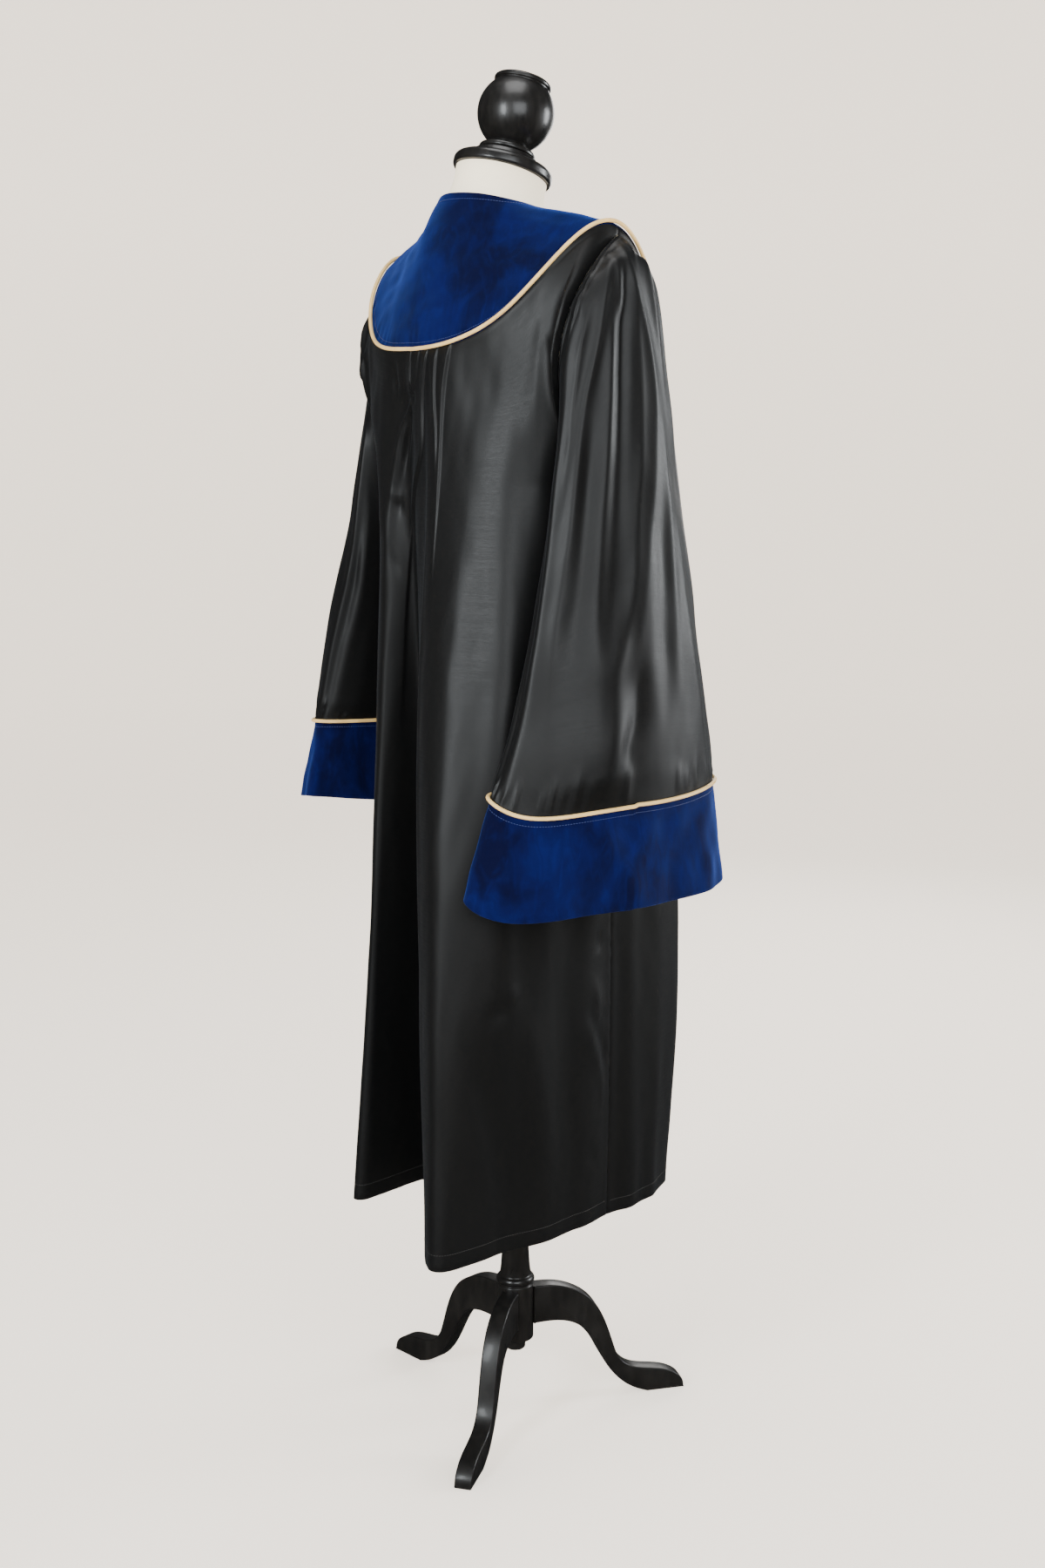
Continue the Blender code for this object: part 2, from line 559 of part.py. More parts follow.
def turned(name, profile, sides, origin=(0, 0, 0), lean=0.0, spin=0.0):
    """Turn a profile about an axis through the origin that leans to the front."""
    angle = np.radians(spin) + np.arange(sides) * 2 * math.pi / sides
    radius = np.array([t.radius for t in profile])[:, None]
    along = np.array([t.along for t in profile])[:, None] + 0 * angle
    local = np.stack([radius * np.cos(angle), radius * np.sin(angle), along], -1)
    return rings_solid(name, leaned(local, origin, lean))


def leaned(points, origin, lean):
    """Tip points about the X axis towards the front and carry them to the origin given."""
    c, s = math.cos(math.radians(lean)), math.sin(math.radians(lean))
    x, y, z = points[..., 0], points[..., 1], points[..., 2]
    return np.stack([x, y * c - z * s, y * s + z * c], -1) + np.asarray(origin)


def back_columns():
    """Give the back panel's columns, closest together where the pleats lie."""
    runs = [np.linspace(low, high, cells + 1)[:-1] for low, high, cells in BACK_COLUMNS]
    return np.concatenate(runs + [np.array([LEFT_SEAM_AT - 1e-6])])


def slit_place(side):
    """Give the thread place of a front's free edge beside the zip."""
    step = THREADS[17].hem_x
    return CENTRE_FRONT_AT - side * FRONT_SLIT / step


def front_columns(side):
    """Give a front panel's columns, from its side seam to the zip or from the zip to its seam."""
    if side > 0:
        return np.linspace(LEFT_SEAM_AT, slit_place(1), FRONT_CELLS + 1)
    return np.linspace(slit_place(-1), len(THREADS) - 1e-6, FRONT_CELLS + 1)


def body_pieces():
    """Make the back panel and the two fronts."""
    pieces = [wall("back_panel", *panel(back_columns(), BACK_FOLDS, (SIDE_DRAW, SIDE_DRAW)), False)]
    pieces.append(wall("front_left", *panel(front_columns(1), (), (SIDE_DRAW, 0.0)), False))
    pieces.append(wall("front_right", *panel(front_columns(-1), (), (0.0, SIDE_DRAW)), False))
    return pieces


def yoke_degrees():
    """Give the yoke's columns: the same places on its edge as the panels' columns below it."""
    slit = math.degrees(FRONT_SLIT / YOKE_RING[-1].radius)
    places = np.concatenate([round_degrees(front_columns(-1)) - 360, round_degrees(back_columns())[1:],
                             round_degrees(front_columns(1))[1:]])
    places[0] = -180 + slit
    places[-1] = 180 - slit
    return places


def yoke_pieces():
    """Make the velvet yoke and the cord piped round its edge."""
    degrees = yoke_degrees()
    outer = yoke_surface(degrees, np.linspace(0, 1, YOKE_ROWS + 1))
    outer[:, 0, 0] = -FRONT_SLIT
    outer[:, -1, 0] = FRONT_SLIT
    normals = facing(grid_normals(outer, False), outer, (0, 0.02, 1.3))
    normals[-1] = seam_normals(degrees)
    ring = outer[-1] + normals[-1] * (PIPING_RADIUS + YOKE_PIPING_LIFT)
    cord = tube("yoke_piping", ring, normals[-1], PIPING_RADIUS, PIPING_SIDES, False)
    return [wall("yoke", outer, outer - normals * VELVET, False), cord], degrees, outer, normals


def sleeve_pieces():
    """Make both sleeves with their cuffs and the cord piped round each cuff."""
    pieces = []
    for word, side, sections, folds, rim in (("right", -1, RIGHT_SLEEVE, RIGHT_FOLDS, RIGHT_RIM),
                                             ("left", 1, LEFT_SLEEVE, LEFT_FOLDS, LEFT_RIM)):
        turns, sleeve, normals = sleeve_grid(side, sections, folds)
        cuff, face = cuff_grid(sleeve, normals, rim, turns)
        path = cuff[0] + normals[-1] * (PIPING_RADIUS + PIPING_LIFT)
        pieces.append(wall("sleeve_" + word, sleeve, sleeve - normals * SATIN, True))
        pieces.append(wall("cuff_" + word, cuff, cuff - face * SATIN, True))
        pieces.append(tube("cuff_piping_" + word, path, normals[-1], PIPING_RADIUS, PIPING_SIDES, True))
    return pieces


def form_piece(degrees, yoke, normals):
    """Make the dress form: neck, shoulders just under the yoke, then girths down to its foot."""
    step = 2
    turn = np.radians(degrees[::step])
    turn[0] = -math.pi
    slack = 0.0005 + 0.004 * np.cos(turn) ** 2 + 0.0018 * np.clip(np.sin(turn), 0, 1)
    rows = []
    neck_x = NECK_TOP_RADIUS * np.sin(turn)
    neck_y = NECK_TOP_RADIUS * np.cos(turn)
    neck_top = CAP_PROFILE[0].along - NECK_TO_CAP
    neck = np.stack([neck_x, neck_y, neck_top + 0 * turn], -1)
    rows.append(leaned(neck, CAP_CENTRE, LEAN_DEG))
    for row in range(0, YOKE_ROWS + 1):
        inner = yoke[row] - normals[row] * VELVET
        inner = inner[::step] - normals[row][::step] * slack[:, None]
        if row == 0:
            radius = COLLAR_RADIUS - VELVET - NECK_SLACK
            inner = np.stack([radius * np.sin(turn), NECK_Y + radius * np.cos(turn), inner[:, 2]], -1)
        rows.append(inner)
    last = rows[-1]
    for girth in FORM_GIRTHS:
        sideways = girth.half_width * np.sin(turn)
        depth = girth.centre_y + girth.half_depth * np.cos(turn)
        rows.append(np.stack([sideways, depth, girth.z + 0 * turn], -1))
    drop = (last + rows[YOKE_ROWS + 2]) / 2
    drop[:, :2] = 0.45 * last[:, :2] + 0.55 * rows[YOKE_ROWS + 2][:, :2]
    rows.insert(YOKE_ROWS + 2, drop)
    foot = rows[-1].copy()
    foot[:, :2] *= FORM_FOOT_SHRINK
    foot[:, 2] = FORM_FOOT_Z
    rows.append(foot)
    return rings_solid("form_torso", np.array(rows)[:, :-1])


def neck_pieces():
    """Make the cap on the neck and the ball finial above it, both on the leaning axis."""
    cap = turned("neck_cap", CAP_PROFILE, TURNED_SIDES, CAP_CENTRE, LEAN_DEG)
    foot = CAP_PROFILE[-1].along + SEAM_GAP
    profile = [Turn(t.radius, foot + t.along) for t in FINIAL_FOOT]
    start = math.asin(FINIAL_FOOT[-1].radius / BALL_RADIUS)
    end = math.asin(FINIAL_NECK_RADIUS / BALL_RADIUS)
    for share in np.linspace(0, 1, BALL_STEPS + 1)[1:]:
        angle = start + (math.pi - start - end) * share
        profile.append(Turn(BALL_RADIUS * math.sin(angle), BALL_AT - BALL_RADIUS * math.cos(angle)))
    top = profile[-1].along
    profile += [Turn(t.radius, top + t.along) for t in FINIAL_DISC]
    return [cap, turned("finial", profile, BALL_SIDES, CAP_CENTRE, LEAN_DEG)]


def stand_pieces():
    """Make the turned post with its hub and the three curved legs."""
    post = list(POST_PROFILE) + [Turn(POST_RADIUS, FORM_FOOT_Z - SEAM_GAP)]
    half_side = 180 / TURNED_SIDES
    pieces = [turned("stand_post", post, TURNED_SIDES, spin=LEG_DEGREES["leg_left"] + half_side)]
    start = HUB_RADIUS * math.cos(math.radians(half_side)) + SEAM_GAP
    outline = np.array(LEG_OUTLINE)
    for name, degrees in LEG_DEGREES.items():
        c, s = math.cos(math.radians(degrees)), math.sin(math.radians(degrees))
        rings = []
        for aside in (-LEG_THICK / 2, LEG_THICK / 2):
            reach = start + outline[:, 0]
            rings.append(np.stack([reach * c - aside * s, reach * s + aside * c, outline[:, 1]], -1))
        pieces.append(prism(name, np.array(rings)))
    return pieces


def prism(name, rings):
    """Close two like outlines into a solid with one flat face at each end."""
    count = rings.shape[1]
    faces = [tuple(reversed(range(count))), tuple(range(count, 2 * count))]
    for j in range(count):
        k = (j + 1) % count
        faces.append((j, k, count + k, count + j))
    return outward(name, rings.reshape(-1, 3), faces)


def front_line(heights):
    """Give the inner face of the centre front at the given heights, neckline to hem."""
    q = np.linspace(0, 1, 12)
    upper = yoke_surface(np.array([180.0]), q)[:, 0]
    along = np.linspace(0.01, 1, 40)
    lower = body_surface(np.array([CENTRE_FRONT_AT]), along)[:, 0]
    line = np.concatenate([upper, lower])[::-1]
    depth = np.interp(heights, line[:, 2], line[:, 1])
    return depth


def zip_pieces():
    """Make the zip's tape behind the front edges, its slider and the pull tab that hangs from it."""
    top = COLLAR_Z - COLLAR_RISE - TAPE_BELOW_NECKLINE
    yoke_edge = YOKE_RING[-1].z + EDGE_GAP
    heights = np.concatenate([np.linspace(top, yoke_edge, 7), np.linspace(1.30, TAPE_END_Z, 10)])
    depth = front_line(heights)
    slope = np.gradient(depth, heights)
    normal = unit(np.stack([0 * slope, -1 + 0 * slope, slope], -1))
    face = np.stack([0 * depth, depth, heights], -1) - normal * (VELVET + TAPE_BEHIND)
    across = np.array([-TAPE_HALF, TAPE_HALF])[None, :, None] * np.array((1.0, 0, 0))
    outer = face[:, None] + across
    tape = wall("zip_tape", outer, outer - normal[:, None] * TAPE_THICK, False)
    seat = face[1] + normal[1] * (SLIDER_SIZE[1] / 2 + SEAM_GAP)
    slider = slab("zip_slider", seat, normal[1], SLIDER_SIZE)
    eye = seat + normal[1] * (SLIDER_SIZE[1] / 2 + PULL_STAND)
    down = unit(np.cross(normal[1], (-1.0, 0, 0)))
    pull = slab("zip_pull", eye + down * (PULL_SIZE[2] / 2 - PULL_EYE), normal[1], PULL_SIZE)
    return [tape, slider, pull], eye


def slab(name, centre, normal, size):
    """Make a small plate that lies square to a normal, its long side down the slope."""
    side = np.array((1.0, 0.0, 0.0))
    down = unit(np.cross(normal, -side))
    corners = []
    for k in (-0.5, 0.5):
        for i, j in ((-0.5, -0.5), (0.5, -0.5), (0.5, 0.5), (-0.5, 0.5)):
            corners.append(centre + side * size[0] * i + down * size[2] * j + normal * size[1] * k)
    faces = [(0, 3, 2, 1), (4, 5, 6, 7), (0, 1, 5, 4), (1, 2, 6, 5), (2, 3, 7, 6), (3, 0, 4, 7)]
    return outward(name, np.array(corners), faces)


def material(name):
    """Make a Principled material from the finish table."""
    finish = FINISHES[name]
    made = bpy.data.materials.new(name)
    made.use_nodes = True
    shader = made.node_tree.nodes["Principled BSDF"]
    shader.inputs["Base Color"].default_value = (*finish.colour, 1.0)
    shader.inputs["Roughness"].default_value = finish.roughness
    shader.inputs["Metallic"].default_value = finish.metallic
    return made


def main():
    """Clear the scene, work the pieces out and stand them over the origin."""
    for old in list(bpy.data.objects):
        bpy.data.objects.remove(old)
    yoke, degrees, surface, normals = yoke_pieces()
    zips, eye = zip_pieces()
    pieces = body_pieces() + yoke + sleeve_pieces() + [form_piece(degrees, surface, normals)]
    pieces += neck_pieces() + stand_pieces() + zips
    points = np.concatenate([piece[1] for piece in pieces])
    low, high = points.min(axis=0), points.max(axis=0)
    shift = np.array(((low[0] + high[0]) / 2, (low[1] + high[1]) / 2, 0.0))
    for name, places, faces in pieces:
        origin = eye - shift if name == "zip_pull" else np.zeros(3)
        mesh = bpy.data.meshes.new(name)
        mesh.from_pydata((places - shift - origin).tolist(), [], faces)
        mesh.materials.append(material(PIECE_FINISHES[name]))
        mesh.shade_smooth()
        mesh.set_sharp_from_angle(angle=math.radians(40))
        made = bpy.data.objects.new(name, mesh)
        made.location = Vector(origin)
        bpy.context.collection.objects.link(made)


main()
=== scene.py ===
"""Dressed model of a judicial robe on a limbless dress form with a turned tripod stand.

Metres, +Z up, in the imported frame: the garment's front looks along -Y and the wearer's left is +X.
Each shape is worked out about the stand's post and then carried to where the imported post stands.
"""
import logging
import math
from collections.abc import Sequence
from dataclasses import dataclass
from enum import Enum

import bpy
import numpy as np
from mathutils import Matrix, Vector


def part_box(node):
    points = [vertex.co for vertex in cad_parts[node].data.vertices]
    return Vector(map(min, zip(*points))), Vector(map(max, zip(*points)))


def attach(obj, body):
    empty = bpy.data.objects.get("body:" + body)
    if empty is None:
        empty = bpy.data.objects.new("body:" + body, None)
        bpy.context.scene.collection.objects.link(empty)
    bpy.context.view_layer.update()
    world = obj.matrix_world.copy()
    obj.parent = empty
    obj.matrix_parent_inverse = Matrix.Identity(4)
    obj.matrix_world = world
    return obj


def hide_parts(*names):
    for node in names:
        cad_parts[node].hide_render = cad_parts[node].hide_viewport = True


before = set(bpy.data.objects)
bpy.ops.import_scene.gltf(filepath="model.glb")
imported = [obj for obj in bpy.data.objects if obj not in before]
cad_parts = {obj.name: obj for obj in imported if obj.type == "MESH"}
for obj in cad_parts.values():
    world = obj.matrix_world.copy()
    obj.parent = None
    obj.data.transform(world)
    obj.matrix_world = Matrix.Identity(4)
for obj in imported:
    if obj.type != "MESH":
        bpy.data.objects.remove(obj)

LOG = logging.getLogger("robe")
Array = np.ndarray
Pair = tuple[float, float]
Triple = tuple[float, float, float]
Piece = bpy.types.Object
Material = bpy.types.Material
Socket = bpy.types.NodeSocket

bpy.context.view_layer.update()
POST_LOW, POST_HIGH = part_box("stand_post")
POST_AT = np.array([(POST_LOW.x + POST_HIGH.x) / 2, (POST_LOW.y + POST_HIGH.y) / 2, 0.0])
MM = 0.001


class Body(Enum):
    """The two bodies that pieces ride on."""

    DRESSED = "dressed_form"
    PULL = "zip_pull_tab"


class Side(Enum):
    """The wearer's right and left, with the sign of X on that side."""

    RIGHT = -1
    LEFT = 1

    @property
    def word(self) -> str:
        """Give the side's name as it stands in the names of pieces."""
        return self.name.lower()


# Curves, grids and reliefs


def natural_spline(knots: Sequence[float], values: Array, at: Array) -> Array:
    """Read the natural cubic spline through values at rising knots.

    The second slopes m solve the usual three-term system (steps h, rises r):
    h0 m0 + 2 (h0 + h1) m1 + h1 m2 = 6 (r1 - r0), with none at both ends.

    Args:
        knots: places of the values, rising.
        values: array (n, ...) of what the curve passes through.
        at: places to read.

    Returns:
        Array (len(at), ...) of the curve's values.
    """
    knots = np.asarray(knots, float)
    values = np.asarray(values, float)
    flat = values.reshape(len(knots), -1)
    steps = np.diff(knots)
    system = np.eye(len(knots))
    right = np.zeros_like(flat)
    for i in range(1, len(knots) - 1):
        system[i, i - 1:i + 2] = steps[i - 1], 2 * (steps[i - 1] + steps[i]), steps[i]
        right[i] = 6 * ((flat[i + 1] - flat[i]) / steps[i] - (flat[i] - flat[i - 1]) / steps[i - 1])
    bend = np.linalg.solve(system, right)
    at = np.atleast_1d(np.asarray(at, float))
    cell = np.clip(np.searchsorted(knots, at, side="right") - 1, 0, len(knots) - 2)
    width = steps[cell][:, None]
    b = (at - knots[cell])[:, None] / width
    a = 1 - b
    curve = a * flat[cell] + b * flat[cell + 1]
    curve += ((a ** 3 - a) * bend[cell] + (b ** 3 - b) * bend[cell + 1]) * width ** 2 / 6
    return curve.reshape((len(at),) + values.shape[1:])


def closed_spline(values: Array, at: Array) -> Array:
    """Read the closed cubic spline through values, one knot a step, at the given places."""
    count = len(values)
    index = np.arange(-4, count + 4)
    return natural_spline(index, np.asarray(values)[index % count], np.mod(at, count))


def unit(vectors: Array) -> Array:
    """Scale vectors to length one."""
    return vectors / np.maximum(np.linalg.norm(vectors, axis=-1, keepdims=True), 1e-12)


def ease(low: float, high: float, value: Array) -> Array:
    """Rise from 0 at low to 1 at high along 3 t^2 - 2 t^3."""
    t = np.clip((value - low) / (high - low), 0, 1)
    return t * t * (3 - 2 * t)


def bell(value: Array, middle: float, width: float) -> Array:
    """Rise to 1 at a middle along exp(-((value - middle) / width)^2)."""
    return np.exp(-((value - middle) / width) ** 2)


def cos_sin(degrees: float) -> Pair:
    """Give the cosine and the sine of an angle in degrees."""
    return math.cos(math.radians(degrees)), math.sin(math.radians(degrees))


def grid_normals(grid: Array, closed: bool, centre: Array) -> Array:
    """Give unit normals of a grid: the cross product of its two slopes, turned away from a centre.

    Args:
        grid: points (rows, columns, 3).
        closed: whether the last column meets the first.
        centre: a point, or one for each row, that the normals look away from.

    Returns:
        Unit vectors of the grid's shape.
    """
    down = np.gradient(grid, axis=0)
    if closed:
        across = (np.roll(grid, -1, axis=1) - np.roll(grid, 1, axis=1)) / 2
    else:
        across = np.gradient(grid, axis=1)
    normals = unit(np.cross(down, across))
    away = np.sum(normals * (grid - np.asarray(centre)), axis=-1)
    return normals if np.sum(away) > 0 else -normals


@dataclass(frozen=True)
class Crease:
    """A soft ridge or trough that runs along the cloth.

    Its crest passes through rows of (place across, place along, height in mm). Across the crest the
    height falls as exp(-|d / width| ** peak), with d the distance in the same unit as the places.
    """

    path: tuple[Triple, ...]
    width: float
    spread: float = 1.0
    peak: float = 2.0
    skew: float = 1.0

    def relief(self, across: Array, along: Array, turn: float = 0.0) -> Array:
        """Give the crease's height, in metres, on a grid.

        Args:
            across: places of the columns.
            along: places of the rows.
            turn: length of one round of a closed cloth, or 0.

        Returns:
            Heights (rows, columns).
        """
        path = np.array(self.path)
        start, end = path[0, 1], path[-1, 1]
        held = np.clip(along, start, end)
        centre = natural_spline(path[:, 1], path[:, 0], held)
        cell = np.clip(np.searchsorted(path[:, 1], held, side="right") - 1, 0, len(path) - 2)
        share = (held - path[cell, 1]) / (path[cell + 1, 1] - path[cell, 1])
        height = path[cell, 2] + (path[cell + 1, 2] - path[cell, 2]) * ease(0, 1, share)
        height = np.where((along < start) | (along > end), 0, height) * MM
        width = self.width * (1 + (self.spread - 1) * (held - start) / (end - start))
        distance = across[None, :] - centre[:, None]
        if turn:
            distance = (distance + turn / 2) % turn - turn / 2
        widths = np.where(distance > 0, width[:, None] * self.skew, width[:, None])
        return height[:, None] * np.exp(-np.abs(distance / widths) ** self.peak)


def folds(*rows: tuple) -> tuple[Crease, ...]:
    """Make creases from rows of path, width and, where they differ, spread, peak and skew."""
    return tuple(Crease(*row) for row in rows)


@dataclass(frozen=True)
class Dimple:
    """A local hollow or bump: height * exp(-(x / reach)^2 - (y / length)^2), x and y in mm, turned."""

    across: float
    along: float
    height: float
    reach: float
    length: float
    turn: float = 0.0

    def relief(self, across: Array, along: Array, grid: Array) -> Array:
        """Give the dimple's height, in metres, on a grid whose points give the real distances."""
        column = int(np.argmin(np.abs(across - self.across)))
        row = int(np.argmin(np.abs(along - self.along)))
        rows, columns = grid.shape[:2]
        left, right = max(column - 1, 0), min(column + 1, columns - 1)
        above, below = max(row - 1, 0), min(row + 1, rows - 1)
        wide = np.linalg.norm(grid[row, right] - grid[row, left]) / (across[right] - across[left])
        tall = np.linalg.norm(grid[below, column] - grid[above, column]) / (along[below] - along[above])
        x = (across[None, :] - self.across) * wide / MM
        y = (along[:, None] - self.along) * tall / MM
        c, s = cos_sin(self.turn)
        aside, ahead = x * c + y * s, -x * s + y * c
        return self.height * MM * np.exp(-(aside / self.reach) ** 2 - (ahead / self.length) ** 2)


@dataclass(frozen=True)
class Ripple:
    """Uneven hang of the cloth: a sum of seeded waves through space, all of one typical size."""

    seed: int
    across: float
    along: float
    height: float
    waves: int = 26

    def relief(self, points: Array) -> Array:
        """Give heights, in metres: sum of sin(k . p + phase), k of random bearing, scaled to height."""
        draw = np.random.default_rng(self.seed)
        bearing = draw.uniform(0, 2 * math.pi, self.waves)
        size = draw.uniform(0.6, 1.6, self.waves)
        steps = np.stack([np.cos(bearing) / self.across, np.sin(bearing) / self.across,
                          draw.normal(0, 1, self.waves) / self.along], -1)
        steps = steps * (2 * math.pi * size)[:, None]
        phase = draw.uniform(0, 2 * math.pi, self.waves)
        total = np.zeros(points.shape[:-1])
        for wave in range(self.waves):
            total += np.sin(points @ steps[wave] + phase[wave])
        return self.height * total / math.sqrt(self.waves / 2)


def gather(seed: int, first: float, last: float, count: int, reach: Pair,
           height: Pair, width: float, low_end: bool = False) -> list[Crease]:
    """Lay a row of small gathers along a seam, as uneven as sewn ones.

    Args:
        seed: start of the random draws.
        first: place across of the first gather.
        last: place across of the last.
        count: how many there are.
        reach: shortest and longest run from the seam, as shares of the cloth's length.
        height: smallest and largest height, in mm.
        width: half width, in the unit of the places across.
        low_end: whether the seam is at the cloth's low end.

    Returns:
        One crease for each gather.
    """
    draw = np.random.default_rng(seed)
    step = (last - first) / max(count - 1, 1)
    creases = []
    for place in np.linspace(first, last, count):
        centre = place + draw.uniform(-0.3, 0.3) * step
        lean = draw.uniform(-0.5, 0.5) * step
        run = draw.uniform(*reach)
        tall = draw.uniform(*height)
        if low_end:
            path = ((centre + lean, 1 - run, 0.0), (centre + lean / 3, 1 - run / 3, tall),
                    (centre, 1.0, tall))
        else:
            path = ((centre, 0.0, tall), (centre + lean / 3, run / 3, tall), (centre + lean, run, 0.0))
        creases.append(Crease(path, width * draw.uniform(0.7, 1.3), 1.5 if not low_end else 0.8))
    return creases


# Meshes


def steps_of(grid: Array, axis: int) -> Array:
    """Give the running length along an axis of a grid, averaged over the other axis, from 0."""
    lengths = np.linalg.norm(np.diff(grid, axis=axis), axis=-1).mean(axis=1 - axis)
    return np.concatenate([[0.0], np.cumsum(lengths)])


def run_along(path: Array) -> Array:
    """Give the running length at each point of a path, from 0."""
    return np.concatenate([[0.0], np.cumsum(np.linalg.norm(np.diff(path, axis=0), axis=1))])


def read_along(at: Array, run: Array, values: Array) -> Array:
    """Read a path's points or vectors at running lengths, straight between the given ones."""
    return np.stack([np.interp(at, run, column) for column in values.T], -1)


def quads(rows: int, columns: int, closed: bool, shift: int = 0) -> Array:
    """Give the corner numbers of a grid's quads, row by row."""
    last = columns if closed else columns - 1
    i, j = np.meshgrid(np.arange(rows - 1), np.arange(last), indexing="ij")
    k = (j + 1) % columns
    corners = np.stack([i * columns + j, i * columns + k, (i + 1) * columns + k, (i + 1) * columns + j], -1)
    return corners.reshape(-1, 4) + shift


def volume_of(points: Array, faces: Array) -> float:
    """Give the signed volume under faces fanned from their first corner: sum of a . (b x c) / 6."""
    total = 0.0
    for k in range(1, faces.shape[1] - 1):
        a, b, c = points[faces[:, 0]], points[faces[:, k]], points[faces[:, k + 1]]
        total += float(np.sum(a * np.cross(b, c)))
    return total / 6


def make_piece(name: str, points: Array, groups: Sequence[Array], material: Material,
               uv: Array | None = None, sharp: float = 50.0) -> Piece:
    """Put points and faces into a new object at the origin.

    Args:
        name: the object's name.
        points: places (n, 3) about the stand's post.
        groups: arrays of faces, each of one corner count.
        material: what the piece is finished in.
        uv: a pair of metres for each face corner, in the order of the groups, or None.
        sharp: edges bent by more than this many degrees stay crisp.

    Returns:
        The object, linked to the scene.
    """
    groups = [np.asarray(group, np.int32) for group in groups if len(group)]
    if sum(volume_of(points, group) for group in groups) < 0:
        groups = [group[:, ::-1] for group in groups]
        if uv is not None:
            parts = np.split(uv, np.cumsum([group.size for group in groups])[:-1])
            turned = [p.reshape(g.shape + (2,))[:, ::-1].reshape(-1, 2) for p, g in zip(parts, groups)]
            uv = np.concatenate(turned)
    corners = np.concatenate([group.ravel() for group in groups])
    counts = np.concatenate([np.full(len(group), group.shape[1]) for group in groups])
    mesh = bpy.data.meshes.new(name)
    mesh.vertices.add(len(points))
    mesh.vertices.foreach_set("co", (points + POST_AT).astype(np.float32).ravel())
    mesh.loops.add(len(corners))
    mesh.loops.foreach_set("vertex_index", corners.astype(np.int32))
    mesh.polygons.add(len(counts))
    mesh.polygons.foreach_set("loop_start", np.concatenate([[0], np.cumsum(counts)[:-1]]).astype(np.int32))
    mesh.polygons.foreach_set("loop_total", counts.astype(np.int32))
    mesh.update(calc_edges=True)
    if uv is not None:
        layer = mesh.uv_layers.new(name="cloth")
        layer.data.foreach_set("uv", uv.astype(np.float32).ravel())
    mesh.shade_smooth()
    mesh.set_sharp_from_angle(angle=math.radians(sharp))
    mesh.materials.append(material)
    made = bpy.data.objects.new(name, mesh)
    bpy.context.collection.objects.link(made)
    return made


def grid_uv(grid: Array, closed: bool) -> Array:
    """Give the UV pair, in metres, of each corner of a grid's quads."""
    rows, columns = grid.shape[:2]
    wide = grid if not closed else np.concatenate([grid, grid[:, :1]], axis=1)
    u, v = steps_of(wide, 1), steps_of(grid, 0)
    last = columns if closed else columns - 1
    i, j = np.meshgrid(np.arange(rows - 1), np.arange(last), indexing="ij")
    pairs = [np.stack([u[j + a], v[i + b]], -1) for a, b in ((0, 0), (1, 0), (1, 1), (0, 1))]
    return np.stack(pairs, -2).reshape(-1, 2)


def make_shell(name: str, outer: Array, inward: Array, thick: float, closed: bool,
               material: Material, rim_rows: int = 3) -> Piece:
    """Make a thin closed wall of cloth under a grid, its low edge rounded like a turned hem.

    The inner face is the outer one moved by thick against the normals given. The low edge is a half
    circle from face to face: middle + thick / 2 * (normal cos a + down sin a).

    Args:
        name: the piece's name.
        outer: points of the outer face (rows, columns, 3), top row first.
        inward: the normals of the wall's thickness.
        thick: the wall's thickness in metres.
        closed: whether the columns go all round.
        material: the cloth.
        rim_rows: rows in the rounded low edge.

    Returns:
        The shell as an object.
    """
    inner = outer - inward * thick
    down = unit(outer[-1] - outer[-2])
    middle = (outer[-1] + inner[-1]) / 2
    angles = np.linspace(0, math.pi, rim_rows + 2)[1:-1]
    rim = [middle + thick / 2 * (inward[-1] * math.cos(a) + down * math.sin(a)) for a in angles]
    loop = np.concatenate([outer, np.array(rim).reshape(-1, outer.shape[1], 3), inner[::-1]])
    rows, columns = loop.shape[:2]
    faces = [quads(rows, columns, closed)]
    pairs = [grid_uv(loop, closed)]
    top = np.arange(columns)
    low = (rows - 1) * columns + top
    nxt = np.roll(top, -1)
    if not closed:
        top, low, nxt = top[:-1], low[:-1], nxt[:-1]
    cap = np.stack([nxt, top, low, (rows - 1) * columns + nxt], -1)
    faces.append(cap)
    if not closed:
        half = rows // 2
        row = np.arange(half)
        for column, flip in ((0, False), (columns - 1, True)):
            front, back = row * columns + column, (rows - 1 - row) * columns + column
            sides = np.stack([front[:-1], front[1:], back[1:], back[:-1]], -1)
            faces.append(sides[:, ::-1] if flip else sides)
        if rows % 2:
            for column, flip in ((0, False), (columns - 1, True)):
                tip = np.array([[half - 1, half, rows - half]]) * columns + column
                faces.append(tip[:, ::-1] if flip else tip)
    spare = sum(group.size for group in faces[1:])
    pairs.append(np.zeros((spare, 2)))
    faces.sort(key=lambda group: group.shape[1] == 3)
    return make_piece(name, loop.reshape(-1, 3), faces, material, np.concatenate(pairs))


def make_tube(name: str, path: Array, upright: Array, radius: float, sides: int, closed: bool,
              material: Material) -> Piece:
    """Sweep a circle along a path: path + radius * (aside cos a + up sin a)."""
    ahead = np.roll(path, -1, axis=0) - np.roll(path, 1, axis=0) if closed else np.gradient(path, axis=0)
    ahead = unit(ahead)
    aside = unit(np.cross(ahead, upright))
    up = np.cross(aside, ahead)
    angle = (np.arange(sides) + 0.5) * 2 * math.pi / sides
    circle = aside[:, None] * np.cos(angle)[None, :, None] + up[:, None] * np.sin(angle)[None, :, None]
    rings = path[:, None] + radius * circle
    if closed:
        rings = np.concatenate([rings, rings[:1]])
        uv = grid_uv(rings, True)
        faces = quads(len(rings), sides, True) % (len(path) * sides)
        return make_piece(name, rings[:-1].reshape(-1, 3), [faces], material, uv)
    return cap_rings(name, rings, material)


